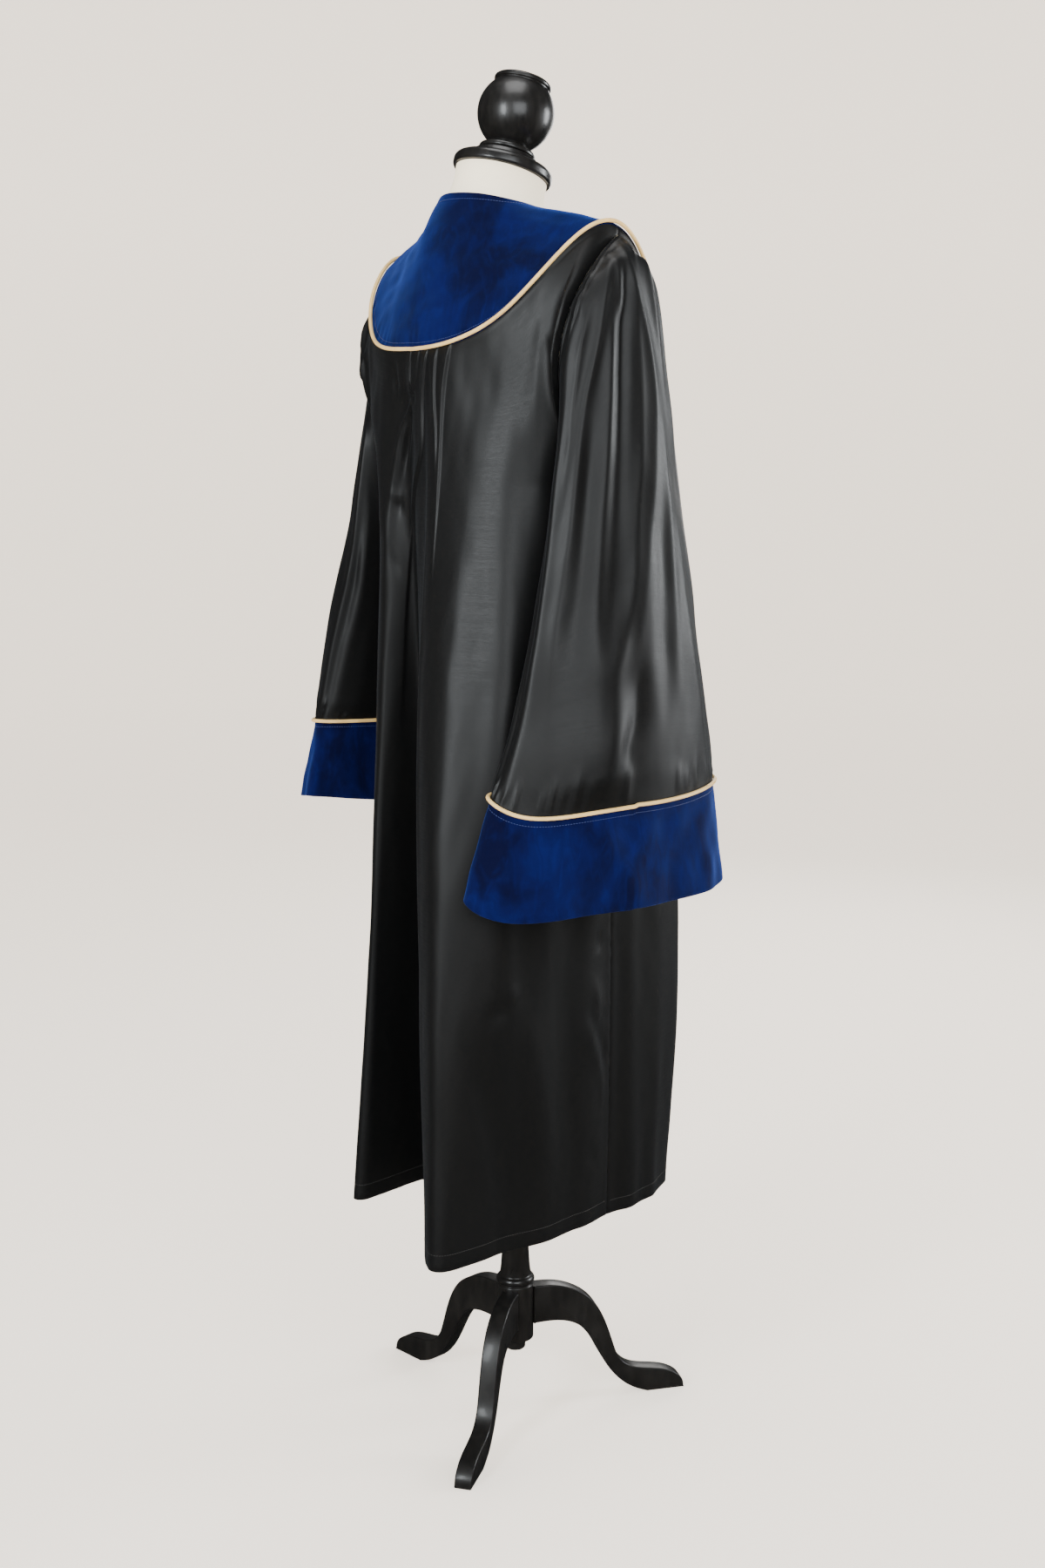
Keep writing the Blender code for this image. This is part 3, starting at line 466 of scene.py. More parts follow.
def cap_rings(name: str, rings: Array, material: Material, sharp: float = 50.0) -> Piece:
    """Close a stack of like rings with a fan of triangles at each end."""
    rows, columns = rings.shape[:2]
    points = np.concatenate([rings.reshape(-1, 3), rings[0].mean(axis=0)[None], rings[-1].mean(axis=0)[None]])
    j = np.arange(columns)
    k = (j + 1) % columns
    base = (rows - 1) * columns
    low = np.stack([np.full(columns, rows * columns), k, j], -1)
    high = np.stack([np.full(columns, rows * columns + 1), base + j, base + k], -1)
    uv = np.concatenate([grid_uv(rings, True), np.zeros((6 * columns, 2))])
    return make_piece(name, points, [quads(rows, columns, True), low, high], material, uv, sharp)


def make_blocks(name: str, centres: Array, axes: tuple[Array, Array, Array], half: Sequence[float],
                material: Material, taper: float) -> Piece:
    """Join many small lozenges into one mesh, such as stitches or teeth.

    Each has four rings of four corners along its first axis, the end rings drawn in by the taper.

    Args:
        name: the piece's name.
        centres: their middles (n, 3).
        axes: unit vectors along, across and up, each (n, 3).
        half: half sizes along the three axes, in metres.
        material: the finish.
        taper: size of the end rings as a share of the middle ones.

    Returns:
        The joined object.
    """
    along, across, up = axes
    stations = np.array([-1.0, -0.6, 0.6, 1.0]) * half[0]
    widths = np.array([taper, 1.0, 1.0, taper])
    corners = np.array([(-1, -1), (1, -1), (1, 1), (-1, 1)], float)
    count = len(centres)
    points = np.zeros((count, 4, 4, 3))
    for ring in range(4):
        for corner in range(4):
            a, b = corners[corner] * widths[ring]
            points[:, ring, corner] = (centres + along * stations[ring] + across * a * half[1]
                                       + up * b * half[2])
    single = np.concatenate([quads(4, 4, True), [[3, 2, 1, 0], [12, 13, 14, 15]]])
    faces = (single[None] + (np.arange(count) * 16)[:, None, None]).reshape(-1, 4)
    return make_piece(name, points.reshape(-1, 3), [faces], material, None, 80.0)


def lathe(profile: Sequence[Pair], sides: int, lean: float = 0.0,
          origin: Sequence[float] = (0.0, 0.0, 0.0)) -> Array:
    """Turn a profile of (radius, height) about an axis that leans to the front by lean degrees."""
    angle = np.arange(sides) * 2 * math.pi / sides
    shape = np.array(profile)
    local = np.stack([shape[:, :1] * np.cos(angle), shape[:, :1] * np.sin(angle),
                      shape[:, 1:] + 0 * angle], -1)
    return leaned(local, lean) + np.asarray(origin)


def leaned(points: Array, lean: float) -> Array:
    """Tip points about the X axis, towards the front for a positive angle."""
    c, s = cos_sin(lean)
    x, y, z = points[..., 0], points[..., 1], points[..., 2]
    return np.stack([x, y * c - z * s, y * s + z * c], -1)


def rounded(corners: Sequence[Triple], steps: int = 5) -> list[Pair]:
    """Round each corner of a profile of (radius, height, fillet) with a quadratic arc.

    Args:
        corners: profile points, each with how far its rounding reaches, in metres.
        steps: points on each arc.

    Returns:
        The profile's points as (radius, height).
    """
    shape = np.array([corner[:2] for corner in corners])
    made = [tuple(shape[0])]
    for i in range(1, len(shape) - 1):
        before, here, after = shape[i - 1], shape[i], shape[i + 1]
        room = min(np.linalg.norm(here - before), np.linalg.norm(after - here)) * 0.49
        reach = min(corners[i][2], room)
        if reach <= 0:
            made.append(tuple(here))
            continue
        start = here + (before - here) / np.linalg.norm(before - here) * reach
        end = here + (after - here) / np.linalg.norm(after - here) * reach
        for t in np.linspace(0, 1, steps):
            made.append(tuple((1 - t) ** 2 * start + 2 * t * (1 - t) * here + t ** 2 * end))
    made.append(tuple(shape[-1]))
    return made


# Finishes


class Recipe:
    """A material's node tree, with short calls that add and join nodes."""

    def __init__(self, name: str) -> None:
        """Start an empty material with a Principled shader.

        Args:
            name: the material's name.
        """
        self.material = bpy.data.materials.new(name)
        self.material.use_nodes = True
        self.tree = self.material.node_tree
        self.shader = self.tree.nodes["Principled BSDF"]
        self.places = self.tree.nodes.new("ShaderNodeTexCoord")

    def join(self, output: Socket, into: Socket) -> None:
        """Join an output to an input."""
        self.tree.links.new(output, into)

    def stretch(self, source: str, scale: Sequence[float], turn: float = 0.0) -> Socket:
        """Scale and turn the piece's Object or UV coordinates for a pattern."""
        node = self.tree.nodes.new("ShaderNodeMapping")
        node.inputs["Scale"].default_value = scale
        node.inputs["Rotation"].default_value = (0.0, 0.0, math.radians(turn))
        self.join(self.places.outputs[source], node.inputs["Vector"])
        return node.outputs["Vector"]

    def noise(self, source: str, scale: Sequence[float], detail: float,
              twist: float = 0.0) -> Socket:
        """Add a cloudy noise, scale being its cells a metre along each axis, and give its value."""
        vector = self.stretch(source, scale)
        node = self.tree.nodes.new("ShaderNodeTexNoise")
        node.inputs["Scale"].default_value = 1.0
        node.inputs["Detail"].default_value = detail
        node.inputs["Distortion"].default_value = twist
        self.join(vector, node.inputs["Vector"])
        return node.outputs["Fac"]

    def wave(self, source: str, scale: float, axis: str = "X",
             turn: float = 0.0) -> Socket:
        """Add evenly spaced bands, turned by some degrees, and give their value."""
        vector = self.stretch(source, (1.0, 1.0, 1.0), turn)
        node = self.tree.nodes.new("ShaderNodeTexWave")
        node.bands_direction = axis
        node.inputs["Scale"].default_value = scale
        node.inputs["Detail"].default_value = 2.0
        self.join(vector, node.inputs["Vector"])
        return node.outputs["Fac"]

    def span(self, value: Socket, low: float, high: float,
             cut: Pair = (0.3, 0.7)) -> Socket:
        """Map a noise's usual range to low..high."""
        node = self.tree.nodes.new("ShaderNodeMapRange")
        node.inputs["From Min"].default_value = cut[0]
        node.inputs["From Max"].default_value = cut[1]
        node.inputs["To Min"].default_value = low
        node.inputs["To Max"].default_value = high
        self.join(value, node.inputs["Value"])
        return node.outputs["Result"]

    def blend(self, share: Socket, first: object, second: object) -> Socket:
        """Mix two colours, each a tuple or another node's output, by a share."""
        node = self.tree.nodes.new("ShaderNodeMix")
        node.data_type = "RGBA"
        self.join(share, node.inputs["Factor"])
        for value, socket in ((first, node.inputs[6]), (second, node.inputs[7])):
            if isinstance(value, tuple):
                socket.default_value = (*value, 1.0)
            else:
                self.join(value, socket)
        return node.outputs[2]

    def reckon(self, way: str, first: object, second: object) -> Socket:
        """Do a sum on two values, each a number or another node's output."""
        node = self.tree.nodes.new("ShaderNodeMath")
        node.operation = way
        for value, socket in ((first, node.inputs[0]), (second, node.inputs[1])):
            if isinstance(value, (int, float)):
                socket.default_value = value
            else:
                self.join(value, socket)
        return node.outputs["Value"]

    def bump(self, height: Socket, strength: float, depth: float,
             under: Socket | None = None) -> Socket:
        """Tilt the surface by a height pattern of a given depth in metres."""
        node = self.tree.nodes.new("ShaderNodeBump")
        node.inputs["Strength"].default_value = strength
        node.inputs["Distance"].default_value = depth
        self.join(height, node.inputs["Height"])
        if under is not None:
            self.join(under, node.inputs["Normal"])
        return node.outputs["Normal"]

    def set(self, **values: object) -> None:
        """Set the shader's own sockets, or join outputs to them, by their names with underscores."""
        for word, value in values.items():
            socket = self.shader.inputs[word.replace("_", " ")]
            if isinstance(value, Socket):
                self.join(value, socket)
            elif isinstance(value, tuple):
                socket.default_value = (*value, 1.0) if len(value) == 3 else value
            else:
                socket.default_value = value


@dataclass(frozen=True)
class Satin:
    """Heavy black satin: near-black yarns, a soft wide gloss and the fine cross grain of the weave."""

    dark: Triple = (0.0022, 0.0024, 0.0027)
    light: Triple = (0.0046, 0.0047, 0.0048)
    gloss: Pair = (0.42, 0.50)

    def build(self, name: str = "black_satin") -> Material:
        """Make the material; its patterns are in metres of cloth on the UV map."""
        r = Recipe(name)
        grain = r.noise("UV", (160.0, 900.0, 1.0), 3.0)
        slub = r.noise("UV", (14.0, 420.0, 1.0), 2.0)
        cloud = r.noise("Object", (9.0, 9.0, 4.0), 3.0, 0.4)
        tone = r.reckon("MULTIPLY", r.span(grain, 0.0, 1.0), r.span(cloud, 0.4, 1.0))
        rough = r.reckon("ADD", r.span(slub, -0.02, 0.02), r.span(grain, *self.gloss))
        tilt = r.bump(grain, 0.22, 0.00012)
        tilt = r.bump(slub, 0.18, 0.00010, tilt)
        r.set(Base_Color=r.blend(tone, self.dark, self.light), Roughness=rough, Normal=tilt)
        r.set(Specular_IOR_Level=0.30, Sheen_Weight=0.03, Sheen_Roughness=0.4, Sheen_Tint=(0.75, 0.85, 1.0))
        return r.material


@dataclass(frozen=True)
class Velvet:
    """Short-pile royal blue velvet: deep ground, lighter where the nap is brushed, soft edge glow."""

    deep: Triple = (0.0001, 0.0006, 0.0150)
    brushed: Triple = (0.0004, 0.0038, 0.0600)
    glow: Triple = (0.05, 0.20, 1.0)

    def build(self, name: str = "blue_velvet") -> Material:
        """Make the material; nap marks are clouds and strokes through the piece's own space."""
        r = Recipe(name)
        cloud = r.noise("Object", (17.0, 17.0, 13.0), 4.0, 0.9)
        stroke = r.noise("Object", (60.0, 60.0, 22.0), 3.0, 1.6)
        pile = r.noise("UV", (1500.0, 1500.0, 1.0), 2.0)
        nap = r.reckon("ADD", r.span(cloud, 0.0, 0.62, (0.38, 0.68)), r.span(stroke, 0.0, 0.30, (0.45, 0.72)))
        nap = r.reckon("ADD", nap, r.span(pile, -0.10, 0.10))
        tilt = r.bump(cloud, 0.25, 0.0012)
        tilt = r.bump(pile, 0.55, 0.00025, tilt)
        r.set(Base_Color=r.blend(nap, self.deep, self.brushed), Normal=tilt)
        r.set(Roughness=0.95, Specular_IOR_Level=0.10, Sheen_Weight=0.30, Sheen_Roughness=0.38,
              Sheen_Tint=self.glow)
        return r.material


@dataclass(frozen=True)
class SatinCord:
    """Pale gold bias-cut satin over a cord: slanting twill and a soft bright ridge, its colour painted
    between a shaded and a lit tone.
    """

    # shade is the cord's painted shaded tone and face its painted lit tone: a shaded and a lit copy of one
    # gold
    shade: Triple = (0.42, 0.25, 0.075)
    face: Triple = (0.78, 0.56, 0.22)

    def build(self, name: str = "gold_piping") -> Material:
        """Make the material; the twill slants across the cord's own length."""
        r = Recipe(name)
        # The twill is the weave's own pattern, drawn in the painted shaded and lit tones
        twill = r.wave("UV", 340.0, turn=38.0)
        # A cloud of painted shade that mixes the shaded and lit tones at random along the cord
        painted_shade_cloud = r.noise("Object", (45.0, 45.0, 45.0), 3.0)
        share = r.reckon("ADD", r.span(twill, 0.25, 0.55, (0.0, 1.0)), r.span(painted_shade_cloud, 0.0, 0.45))
        r.set(Base_Color=r.blend(share, self.shade, self.face), Normal=r.bump(twill, 0.25, 0.00015))
        r.set(Roughness=0.42, Specular_IOR_Level=0.55, Sheen_Weight=0.15, Sheen_Tint=(1.0, 0.9, 0.7))
        return r.material


@dataclass(frozen=True)
class Jersey:
    """Cream stretch jersey pulled over the form: fine columns of knit and faint shading."""

    low: Triple = (0.93, 0.85, 0.66)
    high: Triple = (0.98, 0.93, 0.78)

    def build(self, name: str = "cream_jersey") -> Material:
        """Make the material; the knit's columns are 1.1 mm apart on the UV map."""
        r = Recipe(name)
        wales = r.wave("UV", 290.0)
        courses = r.wave("UV", 380.0, "Y")
        knit = r.reckon("MULTIPLY", wales, courses)
        cloud = r.noise("Object", (12.0, 12.0, 12.0), 3.0)
        share = r.reckon("ADD", r.span(knit, 0.3, 0.7, (0.0, 1.0)), r.span(cloud, -0.2, 0.3))
        r.set(Base_Color=r.blend(share, self.low, self.high), Normal=r.bump(knit, 0.35, 0.00025))
        r.set(Roughness=0.92, Specular_IOR_Level=0.2, Sheen_Weight=0.2, Sheen_Tint=(1.0, 0.97, 0.9))
        return r.material


@dataclass(frozen=True)
class Lacquer:
    """Black lacquer on turned or sawn wood: brush and grain lines, dust and slightly rubbed gloss."""

    base: Triple = (0.0040, 0.0040, 0.0042)
    worn: Triple = (0.0110, 0.0105, 0.0100)
    gloss: Pair = (0.26, 0.38)

    def build(self, name: str, grain: Sequence[float] = (160.0, 160.0, 14.0)) -> Material:
        """Make the material.

        Args:
            name: its name.
            grain: cells a metre of the grain along X, Y and Z.

        Returns:
            The material.
        """
        r = Recipe(name)
        lines = r.noise("Object", grain, 4.0)
        smear = r.noise("Object", (22.0, 22.0, 22.0), 4.0, 0.5)
        peel = r.noise("Object", (420.0, 420.0, 420.0), 1.0)
        rough = r.reckon("ADD", r.span(smear, *self.gloss), r.span(lines, -0.03, 0.05))
        tilt = r.bump(lines, 0.16, 0.0003)
        tilt = r.bump(peel, 0.10, 0.0002, tilt)
        tone = r.reckon("MULTIPLY", r.span(smear, 0.2, 1.0), r.span(lines, 0.2, 1.0))
        r.set(Base_Color=r.blend(tone, self.base, self.worn), Roughness=rough, Normal=tilt)
        r.set(Specular_IOR_Level=0.42, Coat_Weight=0.12, Coat_Roughness=0.16)
        return r.material


@dataclass(frozen=True)
class Thread:
    """Sewing thread: one colour with a fine twist."""

    colour: Triple
    gloss: float = 0.5

    def build(self, name: str) -> Material:
        """Make the material; the twist is a fine band through space."""
        r = Recipe(name)
        twist = r.wave("Object", 900.0, "DIAGONAL")
        light = tuple(min(1.0, value * 1.5 + 0.002) for value in self.colour)
        r.set(Base_Color=r.blend(twist, self.colour, light), Normal=r.bump(twist, 0.3, 0.0001))
        r.set(Roughness=self.gloss, Specular_IOR_Level=0.4, Sheen_Weight=0.1)
        return r.material


@dataclass(frozen=True)
class WovenTape:
    """Black herringbone zip tape."""

    colour: Triple = (0.010, 0.010, 0.011)

    def build(self, name: str = "zip_tape") -> Material:
        """Make the material; two slanting wave bands make the weave."""
        r = Recipe(name)
        left = r.wave("Object", 520.0, turn=45.0)
        right = r.wave("Object", 520.0, turn=-45.0)
        weave = r.reckon("MULTIPLY", left, right)
        r.set(Base_Color=r.blend(weave, self.colour, (0.03, 0.03, 0.032)), Normal=r.bump(weave, 0.4, 0.0002))
        r.set(Roughness=0.8, Specular_IOR_Level=0.3)
        return r.material


@dataclass(frozen=True)
class Brass:
    """Dark antique brass, brighter where it is rubbed."""

    dark: Triple = (0.16, 0.12, 0.06)
    rubbed: Triple = (0.55, 0.42, 0.20)

    def build(self, name: str = "zip_metal") -> Material:
        """Make the material; tarnish is a cloudy noise, scratches a stretched one."""
        r = Recipe(name)
        tarnish = r.noise("Object", (500.0, 500.0, 300.0), 3.0)
        scratch = r.noise("Object", (2500.0, 900.0, 90.0), 2.0)
        r.set(Base_Color=r.blend(r.span(tarnish, 0.1, 0.9), self.dark, self.rubbed), Metallic=1.0)
        r.set(Roughness=r.span(tarnish, 0.28, 0.48), Normal=r.bump(scratch, 0.2, 0.00008))
        return r.material


@dataclass(frozen=True)
class StudioPaper:
    """Seamless pale paper for floor and backdrop."""

    colour: Triple
    lift: float

    def build(self, name: str) -> Material:
        """Make the material: a matte sheet with the faintest clouding."""
        r = Recipe(name)
        cloud = r.noise("Object", (0.8, 0.8, 0.8), 2.0)
        dim = tuple(value * 0.985 for value in self.colour)
        colour = r.blend(cloud, dim, self.colour)
        r.set(Base_Color=colour, Roughness=0.95, Specular_IOR_Level=0.1)
        r.set(Emission_Color=self.colour, Emission_Strength=self.lift)
        return r.material


@dataclass
class Wardrobe:
    """Every finish of the object, made once."""

    satin: Material
    velvet: Material
    cord: Material
    jersey: Material
    turned: Material
    sawn: Material
    black_thread: Material
    blue_thread: Material
    tape: Material
    brass: Material

    @classmethod
    def stocked(cls) -> "Wardrobe":
        """Make all the materials."""
        return cls(Satin().build(), Velvet().build(), SatinCord().build(), Jersey().build(),
                   Lacquer().build("turned_lacquer"),
                   Lacquer(gloss=(0.34, 0.48)).build("sawn_lacquer", (120.0, 120.0, 30.0)),
                   Thread((0.012, 0.012, 0.013)).build("black_thread"),
                   Thread((0.004, 0.016, 0.090)).build("blue_thread"),
                   WovenTape().build(), Brass().build())


def dress(made: Piece, slot: str, *nodes: str, body: Body = Body.DRESSED) -> Piece:
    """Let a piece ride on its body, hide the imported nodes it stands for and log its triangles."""
    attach(made, body.value)
    if nodes:
        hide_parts(*nodes)
    triangles = sum(len(face.vertices) - 2 for face in made.data.polygons)
    LOG.info("%s: %d triangles", made.name, triangles)
    return made


# The hanging cloth


CHEST_Z = 1.20
WAIST_Z = 0.95
THIGH_Z = 0.65
HEM_Z = 0.31
LEVELS_AT = (0.0, 0.24, 0.45, 0.71, 1.0)
NECK_Y = 0.030
ARMHOLE_AT = LEVELS_AT[1]
ARMHOLE_FROM = 0.035
ARMHOLE_BACK = 0.083
ARMHOLE_FRONT = 0.052
ARMHOLE_OUT = 0.008
ARMHOLE_REACH = 1.3
LEFT_SHOULDER_DROP = 0.019
FRONT_SLIT = 0.0045
SATIN_WALL = 0.0011
VELVET_WALL = 0.0018
BODY_CENTRE = np.array((0.0, 0.02, 0.8))
YOKE_CENTRE = np.array((0.0, 0.02, 1.3))
SEAM_GAP = 0.0005
STITCH_SINK = 0.00045
HEM_STITCH_AT = 0.983
YOKE_STITCH_AT = 0.955
NECK_STITCH_AT = 0.045
CUFF_STITCH_AT = 0.075
JUST_SHORT = 1e-6
LEFT_SEAM = 12.0
CENTRE_FRONT = 18.0

# Yoke's outer edge: degrees from centre back, distance from the neck's axis and height
YOKE_RING = ((0, 0.120, 1.350), (36, 0.134, 1.362), (57, 0.155, 1.395), (70, 0.171, 1.436),
             (85, 0.183, 1.479), (95, 0.190, 1.4855), (110, 0.190, 1.455), (130, 0.178, 1.415),
             (155, 0.162, 1.368), (180, 0.153, 1.350))

# Threads of the hanging cloth, from the right side seam round the back: degrees on the yoke, then
# X and Y at the chest, waist, thigh and hem
THREADS = (
    (-97, -0.163, 0.000, -0.166, -0.005, -0.168, -0.010, -0.164, -0.010),
    (-85, -0.166, 0.050, -0.172, 0.060, -0.176, 0.070, -0.172, 0.070),
    (-66, -0.154, 0.096, -0.168, 0.120, -0.178, 0.140, -0.174, 0.150),
    (-45, -0.112, 0.132, -0.144, 0.166, -0.166, 0.196, -0.174, 0.215),
    (-13, -0.048, 0.158, -0.078, 0.193, -0.116, 0.226, -0.154, 0.254),
    (-5, -0.018, 0.150, -0.028, 0.168, -0.052, 0.190, -0.080, 0.206),
    (3, 0.010, 0.140, 0.018, 0.132, 0.014, 0.136, 0.004, 0.140),
    (10, 0.034, 0.130, 0.050, 0.108, 0.062, 0.088, 0.070, 0.086),
    (20, 0.054, 0.138, 0.062, 0.134, 0.068, 0.138, 0.068, 0.152),
    (36, 0.084, 0.138, 0.084, 0.147, 0.084, 0.165, 0.080, 0.199),
    (60, 0.128, 0.098, 0.134, 0.100, 0.138, 0.116, 0.134, 0.150),
    (82, 0.158, 0.048, 0.166, 0.050, 0.176, 0.060, 0.186, 0.080),
    (97, 0.163, 0.000, 0.168, -0.005, 0.182, -0.010, 0.196, -0.010),
    (112, 0.154, -0.052, 0.162, -0.062, 0.176, -0.074, 0.184, -0.082),
    (126, 0.128, -0.092, 0.142, -0.106, 0.152, -0.120, 0.158, -0.128),
    (142, 0.092, -0.120, 0.106, -0.142, 0.116, -0.160, 0.118, -0.166),
    (156, 0.058, -0.128, 0.066, -0.134, 0.076, -0.138, 0.080, -0.136),
    (170, 0.022, -0.140, 0.026, -0.150, 0.030, -0.160, 0.032, -0.162),
    (180, 0.000, -0.142, 0.000, -0.154, 0.000, -0.166, 0.000, -0.168),
    (190, -0.022, -0.140, -0.026, -0.150, -0.030, -0.160, -0.034, -0.160),
    (204, -0.056, -0.130, -0.066, -0.136, -0.076, -0.138, -0.080, -0.128),
    (218, -0.090, -0.122, -0.108, -0.144, -0.122, -0.158, -0.120, -0.144),
    (234, -0.126, -0.094, -0.140, -0.110, -0.148, -0.124, -0.146, -0.112),
    (248, -0.152, -0.054, -0.160, -0.062, -0.162, -0.070, -0.158, -0.070),
)


class BodyCloth:
    """The robe's body as one surface: across counts threads, along runs from yoke (0) to hem (1)."""

    @staticmethod
    def degrees(across: Array) -> Array:
        """Give where on the yoke's edge each thread starts, in degrees from centre back."""
        starts = [thread[0] for thread in THREADS] + [THREADS[0][0] + 360]
        return np.interp(across, np.arange(len(starts)), starts)

    @staticmethod
    def yoke_edge(degrees: Array) -> Array:
        """Give the yoke's outer edge: a spline of radius and height, lower on the left shoulder."""
        degrees = np.atleast_1d(np.asarray(degrees, float))
        folded = np.abs((degrees + 180) % 360 - 180)
        table = [(-d, r, z) for d, r, z in YOKE_RING[2:0:-1]]
        table += list(YOKE_RING)
        table += [(360 - d, r, z) for d, r, z in YOKE_RING[-2:-4:-1]]
        table = np.array(table)
        radius, height = natural_spline(table[:, 0], table[:, 1:], folded).T
        turn = np.radians(degrees)
        height = height - LEFT_SHOULDER_DROP * np.clip(np.sin(turn), 0, 1) ** 2
        return np.stack([radius * np.sin(turn), NECK_Y + radius * np.cos(turn), height], -1)

    @classmethod
    def surface(cls, across: Array, along: Array) -> Array:
        """Give the cloth before its folds.

        Each level is a closed spline through the threads, each thread a spline through the levels.
        Above the underarm the side seams bow out around the armhole by a half sine.

        Args:
            across: places of the columns, in threads.
            along: places of the rows, 0 to 1.

        Returns:
            Points (rows, columns, 3).
        """
        threads = np.array(THREADS)
        levels = [cls.yoke_edge(cls.degrees(across))]
        for column, z in ((1, CHEST_Z), (3, WAIST_Z), (5, THIGH_Z), (7, HEM_Z)):
            places = np.column_stack([threads[:, column:column + 2], np.full(len(threads), z)])
            levels.append(closed_spline(places, across))
        cloth = natural_spline(LEVELS_AT, np.array(levels), along)
        cloth[..., 2] = np.minimum(cloth[..., 2], levels[0][:, 2])
        share = np.clip((np.asarray(along) / ARMHOLE_AT - ARMHOLE_FROM) / (1 - ARMHOLE_FROM), 0, 1)
        bow = np.sin(math.pi * share)[:, None] ** 0.8
        for seam, side in ((0.0, -1.0), (LEFT_SEAM, 1.0), (float(len(THREADS)), -1.0)):
            gap = (across - seam)[None, :]
            behind = gap < 0 if side > 0 else gap >= 0
            if seam > LEFT_SEAM:
                behind = np.zeros_like(gap, bool)
            near = bell(gap, 0.0, ARMHOLE_REACH)
            cloth[..., 1] += bow * near * np.where(behind, ARMHOLE_BACK, -ARMHOLE_FRONT)
            cloth[..., 0] += bow * near * side * ARMHOLE_OUT
        return cloth

    @classmethod
    def edge_normals(cls, degrees: Array) -> Array:
        """Give the normal that yoke and panels share along their seam, tilted up over the shoulders."""
        turn = np.radians(np.asarray(degrees, float))
        tilt = 0.35 + 0.75 * np.sin(turn) ** 2
        return unit(np.stack([np.sin(turn), np.cos(turn), tilt], -1))

    @classmethod
    def armhole(cls, side: Side, turns: Array) -> Array:
        """Give the edge that a sleeve is sewn to: 0 at the shoulder, 90 behind, 180 under the arm."""
        share = np.where(turns <= 180, turns, 360 - turns) / 180
        share = np.round((ARMHOLE_FROM + (1 - ARMHOLE_FROM) * share) * ARMHOLE_AT, 9)
        back_seam = 0.0 if side is Side.RIGHT else LEFT_SEAM - JUST_SHORT
        front_seam = len(THREADS) - JUST_SHORT if side is Side.RIGHT else LEFT_SEAM
        rows = np.unique(share)
        back = cls.surface(np.array([back_seam]), rows)[:, 0]
        front = cls.surface(np.array([front_seam]), rows)[:, 0]
        place = np.searchsorted(rows, share)
        return np.where((turns <= 180)[:, None], back[place], front[place])


def places(runs: Sequence[tuple[float, float, int]]) -> Array:
    """Join runs of even steps, each (first, last, cells), into one rising list of places."""
    joined = [np.linspace(first, last, cells + 1)[:-1] for first, last, cells in runs]
    return np.concatenate(joined + [np.array([runs[-1][1]])])


def pucker(seed: int, along: Array, length: float, size: float) -> Array:
    """Give the uneven pull of a seam: five seeded sines of running length, of mean square a half."""
    draw = np.random.default_rng(seed)
    total = np.zeros_like(along)
    for _ in range(5):
        total += np.sin(2 * math.pi * along * length / (size * draw.uniform(0.6, 1.7))
                        + draw.uniform(0, 2 * math.pi))
    return total / math.sqrt(5)


def stitch_line(name: str, path: Array, normals: Array, material: Material,
                pitch: float = 0.0032, width: float = 0.0006, closed: bool = False) -> Piece:
    """Sew a row of stitches along a path: spindles 0.74 of the pitch long, half sunk in the cloth.

    Args:
        name: the piece's name.
        path: points on the cloth's face.
        normals: the cloth's normals there.
        material: the thread.
        pitch: length of one stitch.
        width: thickness of the thread.
        closed: whether the path goes all round.

    Returns:
        The stitches as one object.
    """
    if closed:
        path, normals = np.concatenate([path, path[:1]]), np.concatenate([normals, normals[:1]])
    run = run_along(path)
    count = int(run[-1] / pitch)
    at = (np.arange(count) + 0.5) * run[-1] / count
    centres = read_along(at, run, path)
    ahead = unit(read_along(at, run, np.gradient(path, run, axis=0)))
    up = unit(read_along(at, run, normals))
    across = unit(np.cross(up, ahead))
    half = (pitch * 0.37, width / 2, width / 2.4)
    return make_blocks(name, centres + up * width * 0.12, (ahead, across, up), half, material, 0.45)


